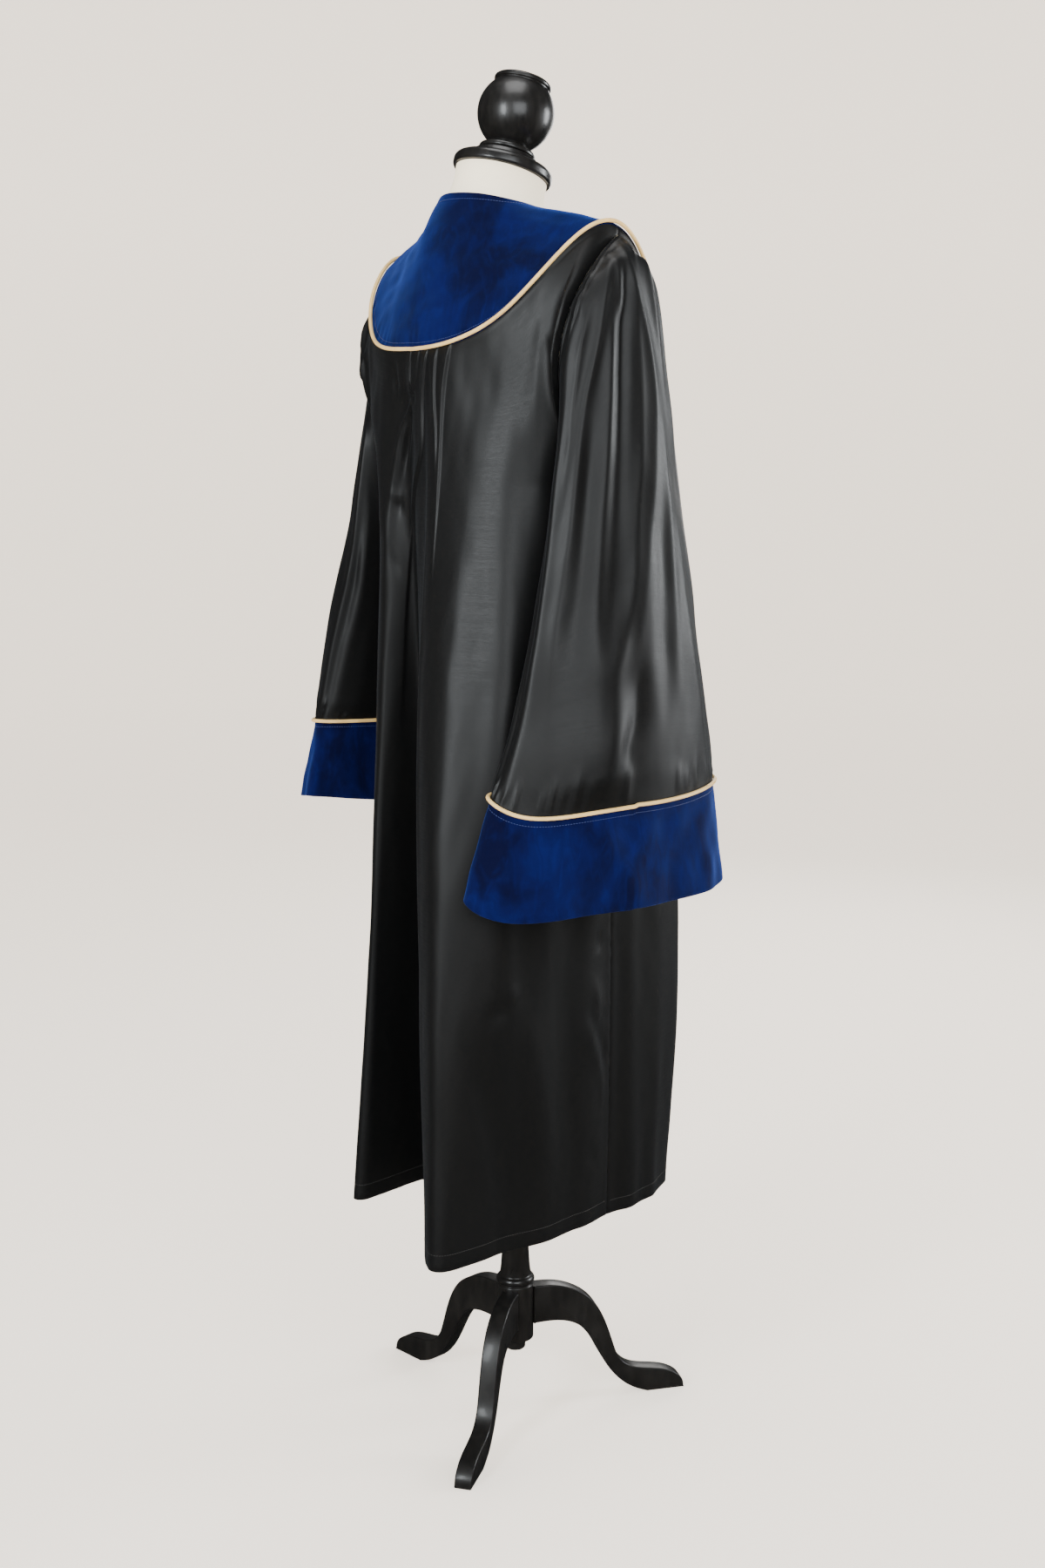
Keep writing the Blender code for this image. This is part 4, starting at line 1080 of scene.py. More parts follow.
@dataclass(frozen=True)
class BodyPanel:
    """One hanging panel of the body, between two places across."""

    name: str
    node: str
    seed: int
    runs: tuple[tuple[float, float, int], ...]
    rows: tuple[tuple[float, float, int], ...]
    creases: tuple[Crease, ...]
    dimples: tuple[Dimple, ...]
    seams: tuple[float, ...]
    flat: Pair
    cut_area: float

    def relief(self, across: Array, along: Array, base: Array) -> Array:
        """Add up the panel's folds, ripples and seam pulls, in metres.

        Folds fade at the side seams, where the cloth dips 0.9 mm and puckers, and are held to
        under half their height where they come out from below the piping.

        Args:
            across: places of the columns.
            along: places of the rows.
            base: the panel before its folds.

        Returns:
            Heights (rows, columns).
        """
        height = Ripple(self.seed, 0.12, 0.50, 0.0007).relief(base)
        height += Ripple(self.seed + 1, 0.030, 0.16, 0.00012).relief(base)
        for crease in self.creases:
            height += crease.relief(across, along)
        for dimple in self.dimples:
            height += dimple.relief(across, along, base)
        for seam in self.seams:
            height *= (1 - 0.92 * bell(across, seam, 0.15))[None]
        for number, seam in enumerate(self.seams):
            pull = pucker(self.seed + 7 + number, along, 1.1, 0.016) * 0.00035
            height += pull[:, None] * bell(across, seam, 0.20)[None]
            height -= 0.0009 * bell(across, seam, 0.035)[None]
        height *= (0.45 + 0.55 * ease(0.0, 0.03, along))[:, None]
        height -= (0.0010 * bell(along, 0.0, 0.006))[:, None]
        height -= (0.00030 * bell(along, HEM_STITCH_AT, 0.0016))[:, None]
        return height

    def build(self, finishes: Wardrobe) -> None:
        """Make the panel and the stitches of its hem."""
        across, along = places(self.runs), places(self.rows)
        base = BodyCloth.surface(across, along)
        normals = grid_normals(base, False, BODY_CENTRE)
        normals[0] = BodyCloth.edge_normals(BodyCloth.degrees(across))
        outer = base + normals * self.relief(across, along, base)[..., None]
        outer[0] += unit(outer[1] - outer[0]) * 0.0003
        outer[:, 0] += unit(outer[:, 1] - outer[:, 0]) * 0.00015
        outer[:, -1] += unit(outer[:, -2] - outer[:, -1]) * 0.00015
        cloth = make_shell(self.name, outer, normals, SATIN_WALL, False, finishes.satin)
        row = int(np.argmin(np.abs(along - HEM_STITCH_AT)))
        face = grid_normals(outer, False, BODY_CENTRE)[row]
        hem = stitch_line(self.name + "_hem_stitches", outer[row, 2:-2], face[2:-2], finishes.black_thread)
        dress(cloth, "black_satin", self.node)
        dress(hem, "black_satin")
        LOG.info("%s: sizes %s", self.name, sizes_of(outer, False))


def sizes_of(grid: Array, closed: bool) -> str:
    """Describe a sheet by its widest row, longest column and area, in metres."""
    wide = np.concatenate([grid, grid[:, :1]], axis=1) if closed else grid
    width = np.linalg.norm(np.diff(wide, axis=1), axis=-1).sum(axis=1)
    length = np.linalg.norm(np.diff(wide, axis=0), axis=-1).sum(axis=0)
    one, two = wide[1:, :-1] - wide[:-1, :-1], wide[:-1, 1:] - wide[:-1, :-1]
    area = np.linalg.norm(np.cross(one, two), axis=-1).sum()
    return f"{width.max():.3f} x {length.max():.3f}, area {area:.3f}"


BACK_CREASES = folds(
    # Knife pleats: a slow rise from the left and a sharp step down to the right
    (((6.08, 0, 2), (6.27, 0.059, 2.4), (6.18, 0.1, 0.8)), 0.045, 1.2, 1.6, 13),
    (((5.1, 0, 2), (5.67, 0.058, 2.4), (6.18, 0.1, 1.2)), 0.045, 1.2, 1.6, 13),
    (((4.2, 0, 2.2), (4.85, 0.079, 2.8), (5.15, 0.126, 3.2), (5.4, 0.198, 3),
      (6.87, 0.28, 3.6), (7.43, 0.331, 3.4), (7.78, 0.422, 2.2), (7.95, 0.52, 0)),
     0.05, 1.8, 1.6, 10),
    (((3.82, 0, 2.2), (3.97, 0.126, 2.6), (3.97, 0.175, 1.8),
     (4.05, 0.245, 0)), 0.02, 1.6, 1.6, 9),
    (((3.55, 0, 2.2), (3.75, 0.099, 2.6), (3.85, 0.175, 2.4), (3.93, 0.242, 1.8),
      (4, 0.3, 1), (4.07, 0.365, 0)), 0.016, 1.8, 1.6, 11),
    # Fan of folds from the notch where two pleats meet
    (((5.97, 0.101, 0), (7.32, 0.154, 4), (7.9, 0.199, 4), (8.1, 0.229, 3.2),
      (8.47, 0.3, 2.2), (8.62, 0.374, 0)), 0.22, 1.4, 1.6),
    (((6.6, 0.131, 0), (7.35, 0.176, 3), (7.7, 0.215, 2.6), (7.85, 0.247, 0)), 0.16, 1.3, 1.6),
    (((6.25, 0.11, 0), (6.8, 0.15, -3), (7.3, 0.2, -3), (7.6, 0.24, 0)), 0.16, 1.3),
    (((9.12, 0.064, 0), (9.5, 0.154, 5.5), (9.12, 0.216, 5.5), (8.83, 0.279, 4),
      (8.45, 0.324, 0)), 0.45, 1, 1.8),
    (((8.2, 0, -0.5), (8.05, 0.077, -3.5), (7.97, 0.131, 0)), 0.28),
    # The great fold's round crest and a fainter rise beside it
    (((3.1, 0.1, 0), (3.2, 0.2, 2.6), (3.46, 0.35, 5), (3.58, 0.45, 6.4),
      (3.62, 0.7, 6.4), (3.64, 1, 5)), 0.38, 1.1, 1.7),
    (((2.95, 0.154, 0), (3, 0.244, 1), (2.98, 0.315, 1.2), (2.95, 0.375, 0)), 0.22, 1.2, 1.6),
    # Pull towards the right arm
    (((1.85, 0, 0.4), (1.83, 0.091, 2.2), (1.88, 0.14, 2.2), (1.87, 0.206, 1.8),
      (1.95, 0.26, 0)), 0.28, 1.5, 1.5),
    (((1.78, 0.048, 0), (1.27, 0.1, 2.2), (0.33, 0.131, 1.3)), 0.24, 1, 1.6),
    (((1.03, 0.048, 0), (0.45, 0.077, 1.8), (0.28, 0.099, 1)), 0.22, 1, 1.6),
    # Long folds of the right back and flank
    (((2.7, 0.1, 0), (2.64, 0.22, 4), (2.56, 0.5, 5.5), (2.5, 0.7, 4), (2.45, 0.84, 0)),
     0.36, 1.2),
    (((1.55, 0.3, 0), (1.52, 0.48, 4), (1.48, 0.8, 5), (1.45, 1, 4)), 0.34, 1.2),
    (((0.5, 0.42, 0), (0.52, 0.62, 3.6), (0.55, 0.88, 4.4), (0.55, 1, 4)), 0.26, 1.2),
    (((2.27, 0.7, 0), (1.8, 0.789, 3.6), (1.55, 0.85, 3.6), (1.4, 1, 2.6)), 0.36, 1.2, 1.7),
    (((3, 0.74, 0), (2.78, 0.824, -4), (2.32, 0.92, -3.2), (2.2, 1, -2.4)), 0.34, 1),
    # Crumple low on the side seam
    (((0.58, 0.73, 0), (0.32, 0.764, 2.6), (0.47, 0.79, 2.4), (0.27, 0.84, 2.4),
      (0.28, 0.905, 0)), 0.11, 1, 1.5),
    (((0.22, 0.745, 0), (0.5, 0.775, -2), (0.2, 0.815, -2), (0.4, 0.86, 0)), 0.1),
    # Left back, left flank and the left fold's inner side
    (((9.9, 0.06, 0), (9.88, 0.16, 4.4), (9.85, 0.42, 5), (9.8, 0.7, 0)), 0.36, 1.2),
    (((10.2, 0, 0.6), (10.2, 0.09, 3.2), (10.1, 0.16, 2.8), (10, 0.25, 0)), 0.2, 1.5, 1.5),
    (((10.3, 0.05, 0), (10.9, 0.1, 3.2), (11.7, 0.135, 2)), 0.2, 1, 1.6),
    (((11, 0.05, 0), (11.5, 0.08, 2.6), (11.7, 0.1, 1.5)), 0.18, 1, 1.6),
    (((10.6, 0.34, 0), (10.6, 0.6, 4), (10.5, 0.85, 5.5), (10.5, 1, 5.5)), 0.3, 1.4),
    (((11.4, 0.44, 0), (11.4, 0.7, 3), (11.3, 1, 4)), 0.22, 1.3),
    (((8.6, 0.45, 0), (8.65, 0.65, 3), (8.6, 0.85, 4), (8.6, 1, 4)), 0.22, 1.3),
    (((9.35, 0.5, 0), (9.4, 0.75, -3.6), (9.35, 1, -4.5)), 0.24, 1.3),
    # Small hanging creases in the great fold's wall and under its crest
    (((4.6, 0.24, 0), (4.55, 0.45, 2.6), (4.5, 0.75, 2.4), (4.5, 0.92, 0)), 0.1, 1.4, 1.5),
    (((3.85, 0.45, 0), (3.8, 0.62, 2.2), (3.78, 0.84, 2.6), (3.8, 1, 2)), 0.16, 1.4),
)
BACK_DIMPLES = (
    Dimple(6.18, 0.101, -3.2, 3.5, 7, 20),
    Dimple(7.83, 0.268, -2.4, 5, 9),
    Dimple(8.02, 0.259, 1.3, 4, 11, 50),
    Dimple(7.6, 0.258, 1.1, 4, 10, -50),
    Dimple(8.05, 0.33, -1.3, 3.5, 12, 25),
    Dimple(2.5, 0.749, -4, 13, 9, 30),
    Dimple(2.25, 0.735, 2.4, 9, 6, 30),
    Dimple(0.3, 0.7, -2.4, 8, 5, 15),
    Dimple(0.42, 0.93, -2.2, 9, 5, -20),
)
LEFT_FRONT_CREASES = folds(
    (((12.55, 0.05, 0), (12.7, 0.12, 3.2), (12.9, 0.2, 2.4), (13, 0.3, 0)), 0.22, 1.2, 1.6),
    (((13.2, 0, 2), (13.3, 0.1, 3.2), (13.5, 0.35, 3.4), (13.6, 0.62, 2), (13.6, 1, 3.4)),
     0.24, 1.5, 1.7),
    (((14.6, 0, 2.6), (14.7, 0.12, 3.8), (14.9, 0.4, 4), (15, 0.7, 4.6), (15, 1, 5)),
     0.24, 1.5, 1.7),
    (((15.35, 0, 2.2), (15.45, 0.09, 3), (15.6, 0.28, 0)), 0.1, 1.4, 2, 2.5),
    (((16.3, 0, 2.2), (16.45, 0.14, 3), (16.55, 0.5, 3), (16.7, 1, 2.4)), 0.2, 1.4, 1.7),
    (((15.6, 0.12, 0), (15.7, 0.42, -3), (15.75, 0.8, -4), (15.7, 1, -4)), 0.26, 1.3),
    (((17.2, 0.02, 0), (17.25, 0.2, 1.6), (17.3, 0.5, 0)), 0.16, 1.3),
    (((12.45, 0.5, 0), (12.5, 0.75, 3), (12.55, 1, 4)), 0.22, 1.3),
)
RIGHT_FRONT_CREASES = folds(
    (((23.45, 0.05, 0), (23.3, 0.12, 3.2), (23.1, 0.2, 2.4), (23, 0.3, 0)), 0.22, 1.2, 1.6),
    (((22.8, 0, 2), (22.7, 0.1, 3.2), (22.5, 0.35, 3.6), (22.42, 0.66, 2), (22.4, 1, 3.4)),
     0.24, 1.5, 1.7),
    (((21.5, 0, 2.6), (21.35, 0.12, 3.8), (21.12, 0.4, 4.2), (21, 0.7, 5), (21, 1, 5)),
     0.24, 1.5, 1.7),
    (((20.7, 0, 2.2), (20.6, 0.09, 3), (20.45, 0.3, 0)), 0.24, 1.4, 2, 0.4),
    (((19.72, 0, 2.2), (19.6, 0.16, 3), (19.48, 0.52, 3), (19.38, 1, 2.4)), 0.2, 1.4, 1.7),
    (((20.5, 0.12, 0), (20.38, 0.42, -3.2), (20.3, 0.8, -4), (20.3, 1, -4)), 0.26, 1.3),
    (((18.8, 0.03, 0), (18.75, 0.24, 1.6), (18.7, 0.56, 0)), 0.16, 1.3),
    (((23.5, 0.52, 0), (23.45, 0.78, 3), (23.42, 1, 4)), 0.22, 1.3),
)
SLIT = FRONT_SLIT / THREADS[17][7]
BODY_PANELS = (
    BodyPanel("back_cloth", "back_panel", 11,
              ((0.0, 0.4, 12), (0.4, 3.3, 52), (3.3, 4.1, 56), (4.1, 6.3, 56), (6.3, 8.5, 42),
               (8.5, 11.6, 38), (11.6, LEFT_SEAM - JUST_SHORT, 9)),
              ((0.0, 0.03, 12), (0.03, 0.25, 58), (0.25, 0.45, 38), (0.45, 1.0, 70)),
              BACK_CREASES, BACK_DIMPLES, (0.0, LEFT_SEAM), (0.96, 1.23), 0.78),
    BodyPanel("front_left_cloth", "front_left", 23,
              ((LEFT_SEAM, 12.4, 12), (12.4, 17.6, 70), (17.6, CENTRE_FRONT - SLIT, 6)),
              ((0.0, 0.03, 8), (0.03, 0.45, 70), (0.45, 1.0, 80)),
              LEFT_FRONT_CREASES, (), (LEFT_SEAM,), (0.34, 1.19), 0.31),
    BodyPanel("front_right_cloth", "front_right", 37,
              ((CENTRE_FRONT + SLIT, 18.4, 6), (18.4, 23.6, 70), (23.6, len(THREADS) - JUST_SHORT, 12)),
              ((0.0, 0.03, 8), (0.03, 0.45, 70), (0.45, 1.0, 80)),
              RIGHT_FRONT_CREASES, (), (float(len(THREADS)),), (0.31, 1.20), 0.30),
)


# Yoke


@dataclass(frozen=True)
class Yoke:
    """Round velvet yoke, open at the centre front, with a satin cord piped round its edge."""

    collar_radius: float = 0.0645
    collar_z: float = 1.514
    collar_rise: float = 0.014
    crown: float = 0.006
    cord_radius: float = 0.0023
    cord_lift: float = 0.0013
    columns: int = 300
    rows: int = 48
    flat: Pair = (1.18, 0.19)
    cut_area: float = 0.12

    def surface(self, degrees: Array, share: Array) -> Array:
        """Give the yoke's outer face: share runs from 0 at the neckline to 1 at the piped edge.

        Each line goes straight from the neckline to the edge, lifted by crown * 4 q (1 - q).
        """
        turn = np.radians(np.asarray(degrees, float))
        top = np.stack([self.collar_radius * np.sin(turn), NECK_Y + self.collar_radius * np.cos(turn),
                        self.collar_z + self.collar_rise * np.cos(turn)], -1)
        q = np.asarray(share, float)[:, None, None]
        flat = top * (1 - q) + BodyCloth.yoke_edge(degrees) * q
        lift = np.stack([np.sin(turn), np.cos(turn), 0.6 + 0 * turn], -1)
        return flat + self.crown * 4 * q * (1 - q) * lift * (0.35 + 0.65 * np.abs(np.cos(turn)))[:, None]

    def build(self, finishes: Wardrobe) -> None:
        """Make the velvet, its cord and the stitches beside the cord and round the neckline."""
        slit = math.degrees(FRONT_SLIT / YOKE_RING[-1][1])
        degrees = np.linspace(-180 + slit, 180 - slit, self.columns)
        share = np.linspace(0, 1, self.rows)
        base = self.surface(degrees, share)
        base[:, 0, 0], base[:, -1, 0] = -FRONT_SLIT, FRONT_SLIT
        normals = grid_normals(base, False, YOKE_CENTRE)
        normals[-1] = BodyCloth.edge_normals(degrees)
        height = Ripple(51, 0.07, 0.07, 0.0005).relief(base)
        pull = pucker(52, degrees / 360, 1.0, 0.014) * 0.00030
        height += pull[None] * bell(share, 1.0, 0.10)[:, None]
        height -= STITCH_SINK * bell(share, YOKE_STITCH_AT, 0.012)[:, None]
        height -= STITCH_SINK * bell(share, NECK_STITCH_AT, 0.014)[:, None]
        height *= (1 - ease(0.985, 1.0, share))[:, None]
        outer = base + normals * height[..., None]
        velvet = make_shell("yoke_velvet", outer, normals, VELVET_WALL, False, finishes.velvet)
        ring = base[-1] + normals[-1] * (self.cord_radius + self.cord_lift)
        cord = make_tube("yoke_cord", ring, normals[-1], self.cord_radius, 16, False, finishes.cord)
        face = grid_normals(outer, False, YOKE_CENTRE)
        low, high = (int(np.argmin(np.abs(share - place))) for place in (YOKE_STITCH_AT, NECK_STITCH_AT))
        edge = stitch_line("yoke_edge_stitches", outer[low, 1:-1], face[low, 1:-1], finishes.blue_thread)
        neck = stitch_line("neckline_stitches", outer[high, 1:-1], face[high, 1:-1], finishes.blue_thread)
        dress(velvet, "blue_velvet", "yoke")
        dress(cord, "gold_piping", "yoke_piping")
        dress(edge, "blue_velvet")
        dress(neck, "blue_velvet")
        LOG.info("yoke_velvet: sizes %s", sizes_of(outer, False))


# Sleeves


DIP_AT = 52.0
DIP_WIDTH = 34.0


@dataclass(frozen=True)
class Section:
    """A ring of a sleeve, given by its outer, back, inner and front points and a dip of its low edge."""

    at: float
    outer: Triple
    back: Triple
    inner: Triple
    front: Triple
    dip: float = 0.0

    def ring(self, turns: Array) -> Array:
        """Give the ring: middle + half across * cos + half length * sin + squash * cos of twice the turn."""
        outer, back, inner, front = map(np.array, (self.outer, self.back, self.inner, self.front))
        angle = np.radians(turns)[:, None]
        ring = (outer + back + inner + front) / 4 + (outer - inner) / 2 * np.cos(angle)
        ring = ring + (back - front) / 2 * np.sin(angle)
        ring = ring + (outer + inner - back - front) / 4 * np.cos(2 * angle)
        ring[:, 2] -= self.dip * bell(turns, DIP_AT, DIP_WIDTH)
        return ring


RIGHT_SECTIONS = (
    Section(0.08, (-0.212, 0.01, 1.454), (-0.189, 0.093, 1.305), (-0.173, 0.012, 1.168),
           (-0.192, -0.044, 1.31)),
    Section(0.22, (-0.227, 0.012, 1.385), (-0.193, 0.103, 1.225), (-0.178, 0.018, 1.105),
           (-0.199, -0.052, 1.225)),
    Section(0.45, (-0.246, 0.016, 1.215), (-0.197, 0.128, 1.09), (-0.184, 0.03, 1.01),
           (-0.205, -0.074, 1.08)),
    Section(0.72, (-0.264, 0.032, 1.01), (-0.199, 0.158, 0.965), (-0.191, 0.045, 0.92),
            (-0.21, -0.106, 0.955), 0.004),
    Section(1, (-0.274, 0.055, 0.847), (-0.192, 0.194, 0.861), (-0.198, 0.04, 0.855),
            (-0.213, -0.128, 0.85), 0.016),
)
RIGHT_RIM = Section(1, (-0.284, 0.07, 0.732), (-0.197, 0.234, 0.75), (-0.201, 0.05, 0.742),
                    (-0.231, -0.129, 0.732), 0.016)
LEFT_SECTIONS = (
    Section(0.08, (0.198, 0.01, 1.412), (0.187, 0.082, 1.285), (0.173, 0.01, 1.16), (0.191, -0.052, 1.29)),
    Section(0.22, (0.212, 0.008, 1.335), (0.193, 0.088, 1.205), (0.178, 0.008, 1.105),
           (0.198, -0.064, 1.205)),
    Section(0.45, (0.24, 0.004, 1.205), (0.204, 0.098, 1.1), (0.186, 0.004, 1.03), (0.204, -0.088, 1.09)),
    Section(0.72, (0.268, 0.006, 1.045), (0.224, 0.112, 1), (0.196, 0, 0.955), (0.208, -0.12, 0.975)),
    Section(1, (0.284, 0.012, 0.892), (0.24, 0.128, 0.892), (0.206, 0, 0.885),
            (0.216, -0.146, 0.872), 0.006),
)
LEFT_RIM = Section(1, (0.294, 0.014, 0.78), (0.25, 0.142, 0.795), (0.208, 0, 0.775),
                   (0.222, -0.16, 0.758), 0.006)

RIGHT_SLEEVE_CREASES = folds(
    # Ridges that fan down from the gathered head, behind the arm
    (((15, 0.003, 0.4), (37, 0.045, 2), (54, 0.056, 2), (64, 0.075, 0)), 6.8, 1, 1.5),
    (((46, 0.1, 0), (55, 0.165, 2.7), (58, 0.212, 3.1), (60, 0.285, 2.7),
     (66, 0.42, 0)), 6.8, 1.3, 1.5),
    (((15, 0.04, 0.7), (32, 0.147, 3.1), (38, 0.217, 3.4), (45, 0.265, 3.4), (50, 0.333, 3.4),
      (54, 0.448, 3.1), (58, 0.583, 2.7), (53, 0.79, 0)), 6.2, 1.5, 1.5),
    (((25, 0.15, 0), (25, 0.275, 3), (26, 0.352, 3.1), (29, 0.44, 3.1), (31, 0.56, 2.7),
      (30, 0.682, 2), (27, 0.76, 0)), 5.4, 1.4, 1.5),
    (((19, 0.06, 0), (18, 0.1, 2), (17, 0.175, 2.3), (16, 0.225, 0)), 3.8, 1, 1.4),
    (((12, 0.1, 0), (13, 0.163, -2.7), (15, 0.235, -4.1), (17, 0.328, -4.8), (20, 0.463, -4.1),
      (21, 0.635, -2), (22, 0.74, 0)), 5.1, 1.6),
    (((42, 0.3, 0), (42, 0.42, -3), (44, 0.6, -2.7), (42, 0.78, 0)), 6.2, 1.4),
    (((19, 0.6, 0), (18, 0.76, 9), (17, 0.88, 12), (17, 1, 9)), 9, 1.2, 1.6, 2.6),
    # Ridges over the outer side
    (((8, 0.06, 0), (6, 0.113, 2.4), (1, 0.168, 3.1), (-8, 0.242, 3.5), (-13, 0.32, 3.8),
      (-9, 0.42, 3.8), (-2, 0.545, 3.5), (2, 0.642, 3.1), (6, 0.77, 0)), 5.9, 1.5, 1.4),
    (((3, 0.15, 0), (1, 0.25, 1.6), (2, 0.4, 2.4), (6, 0.495, 2.4), (9, 0.618, 2.7),
      (13, 0.69, 2.4), (17, 0.76, 0)), 4.3, 1.4, 1.4),
    (((-20, 0.32, 0), (-21, 0.485, 2.9), (-23, 0.585, 2.9), (-25, 0.693, 2.4), (-27, 0.83, 0)),
     5.4, 1.3, 1.5),
    (((-29, 0.44, 0), (-35, 0.6, 3), (-43, 0.748, 3.1), (-52, 0.905, 2), (-54, 1, 0.7)),
     6.8, 1.3, 1.5),
    (((-15, 0.46, 0), (-14, 0.6, -2.7), (-16, 0.76, -2.4), (-20, 0.9, 0)), 5.4, 1.3),
    (((2, 0.72, 0), (2, 0.78, -2.4), (2, 0.833, -3.1), (6, 0.88, -2.4),
     (2, 0.94, 0)), 4.1, 1.2, 1.6),
    (((10, 0.74, 0), (12, 0.84, 2), (14, 0.93, 2), (14, 1, 1)), 5.4, 1.2),
    # Long folds behind, in front and on the inner side
    (((72, 0.12, 0), (76, 0.3, 2.7), (78, 0.6, 3.4), (74, 1, 2.7)), 8.1, 1.4, 1.7),
    (((100, 0.2, 0), (104, 0.45, 2.7), (104, 0.75, 3.4), (102, 1, 2.7)), 9.5, 1.3),
    (((89, 0.3, 0), (90, 0.6, -2.4), (88, 1, -2)), 8.1, 1.3),
    (((135, 0.3, 0), (132, 0.65, 2.4), (128, 1, 2.7)), 12.2, 1.2),
    (((170, 0.42, 0), (168, 0.7, 2.7), (165, 1, 2)), 17.6, 1.1),
    (((-150, 0.3, 0), (-146, 0.62, 2.4), (-142, 1, 2.4)), 12.2, 1.2),
    (((-110, 0.1, 0), (-108, 0.35, 2.7), (-112, 0.7, 3.4), (-116, 1, 2.7)), 9.5, 1.4, 1.7),
    (((-84, 0.06, 0), (-80, 0.25, 3), (-82, 0.55, 3.1), (-84, 0.85, 2), (-84, 1, 1.4)),
     8.1, 1.4, 1.6),
    (((-62, 0.04, 0), (-58, 0.16, 2.7), (-60, 0.4, 3), (-64, 0.7, 0)), 6.8, 1.4, 1.5),
    (((-36, 0.02, 0.4), (-38, 0.12, 2.7), (-42, 0.28, 2.7), (-44, 0.46, 0)), 6.2, 1.4, 1.5),
    (((-18, 0.02, 0.4), (-20, 0.1, 2.7), (-26, 0.22, 2.4), (-30, 0.36, 0)), 5.4, 1.4, 1.5),
)
RIGHT_HEAD_AND_SEAM = (
    gather(61, -50, 56, 11, (0.06, 0.2), (1.2, 2.6), 3.6)
    + [Crease(((turn + 1, top, 0), (turn + 0.3, 0.965, tall), (turn, 1, tall)), 1.7, 0.8, 1.6)
       for turn, top, tall in ((64, 0.9, 2), (47, 0.93, 1.6), (42, 0.9, 2.4), (37, 0.93, 1.6),
                               (30, 0.89, 2.4),
                               (23, 0.92, 2), (4, 0.9, 2.4), (-27, 0.91, 2.2), (-33, 0.93, 1.6),
                               (-41, 0.9, 2.2), (-55, 0.92, 2))]
    + gather(67, 76, 295, 26, (0.03, 0.1), (0.8, 2.2), 1.9, low_end=True)
)
LEFT_SLEEVE_CREASES = folds(
    (((48, 0.01, 0.4), (50, 0.1, 3.2), (54, 0.25, 3.5), (56, 0.45, 0)), 6.5, 1.4, 1.5),
    (((30, 0.01, 0.4), (32, 0.12, 3.5), (35, 0.35, 3.8), (36, 0.6, 0)), 6.5, 1.4, 1.5),
    (((12, 0.01, 0.4), (13, 0.1, 3.2), (15, 0.25, 3.2), (16, 0.45, 0)), 5.7, 1.4, 1.5),
    (((-6, 0.01, 0.4), (-7, 0.12, 3.5), (-8, 0.42, 3.9), (-8, 0.75, 0)), 6.5, 1.5, 1.5),
    (((-26, 0.01, 0.4), (-28, 0.12, 3.1), (-29, 0.3, 3.1), (-30, 0.5, 0)), 6.5, 1.4, 1.5),
    (((66, 0.2, 0), (64, 0.4, 3.2), (62, 0.7, 3.8), (60, 1, 2.8)), 9.1, 1.4, 1.6),
    (((88, 0.1, 0), (90, 0.3, 2.8), (92, 0.65, 3.2), (92, 1, 2.5)), 7.8, 1.4, 1.6),
    (((112, 0.16, 0), (114, 0.4, 2.8), (114, 0.75, 3.1), (112, 1, 2.5)), 9.1, 1.3, 1.7),
    (((101, 0.25, 0), (102, 0.5, -2.5), (102, 0.85, -2.1), (102, 1, -1.4)), 6.5, 1.3),
    (((140, 0.34, 0), (138, 0.65, 2.5), (136, 1, 2.1)), 11.7, 1.2),
    (((175, 0.45, 0), (170, 0.72, 2.8), (168, 1, 2.1)), 16.9, 1.1),
    (((20, 0.26, 0), (17, 0.55, 3.8), (14, 0.95, 1.4), (14, 1, 1)), 7.8, 1.4, 1.6),
    (((38, 0.4, 0), (37, 0.7, -2.8), (36, 1, -1.7)), 7.8, 1.3),
    (((-50, 0.34, 0), (-47, 0.62, 3.2), (-44, 0.95, 1.4), (-44, 1, 1)), 8.3, 1.4, 1.6),
    (((-70, 0.08, 0), (-68, 0.25, 2.8), (-70, 0.55, 3.1), (-72, 0.85, 0)), 7.8, 1.4, 1.6),
    (((-96, 0.14, 0), (-98, 0.4, 2.8), (-100, 0.75, 3.1), (-102, 1, 2.5)), 9.1, 1.3, 1.7),
    (((-140, 0.3, 0), (-138, 0.62, 2.5), (-136, 1, 2.1)), 11.7, 1.2),
)
LEFT_HEAD_AND_SEAM = (gather(71, -50, 56, 10, (0.06, 0.2), (1.2, 2.6), 3.6)
                      + gather(73, -74, 280, 40, (0.03, 0.1), (0.8, 2.2), 1.9, low_end=True))


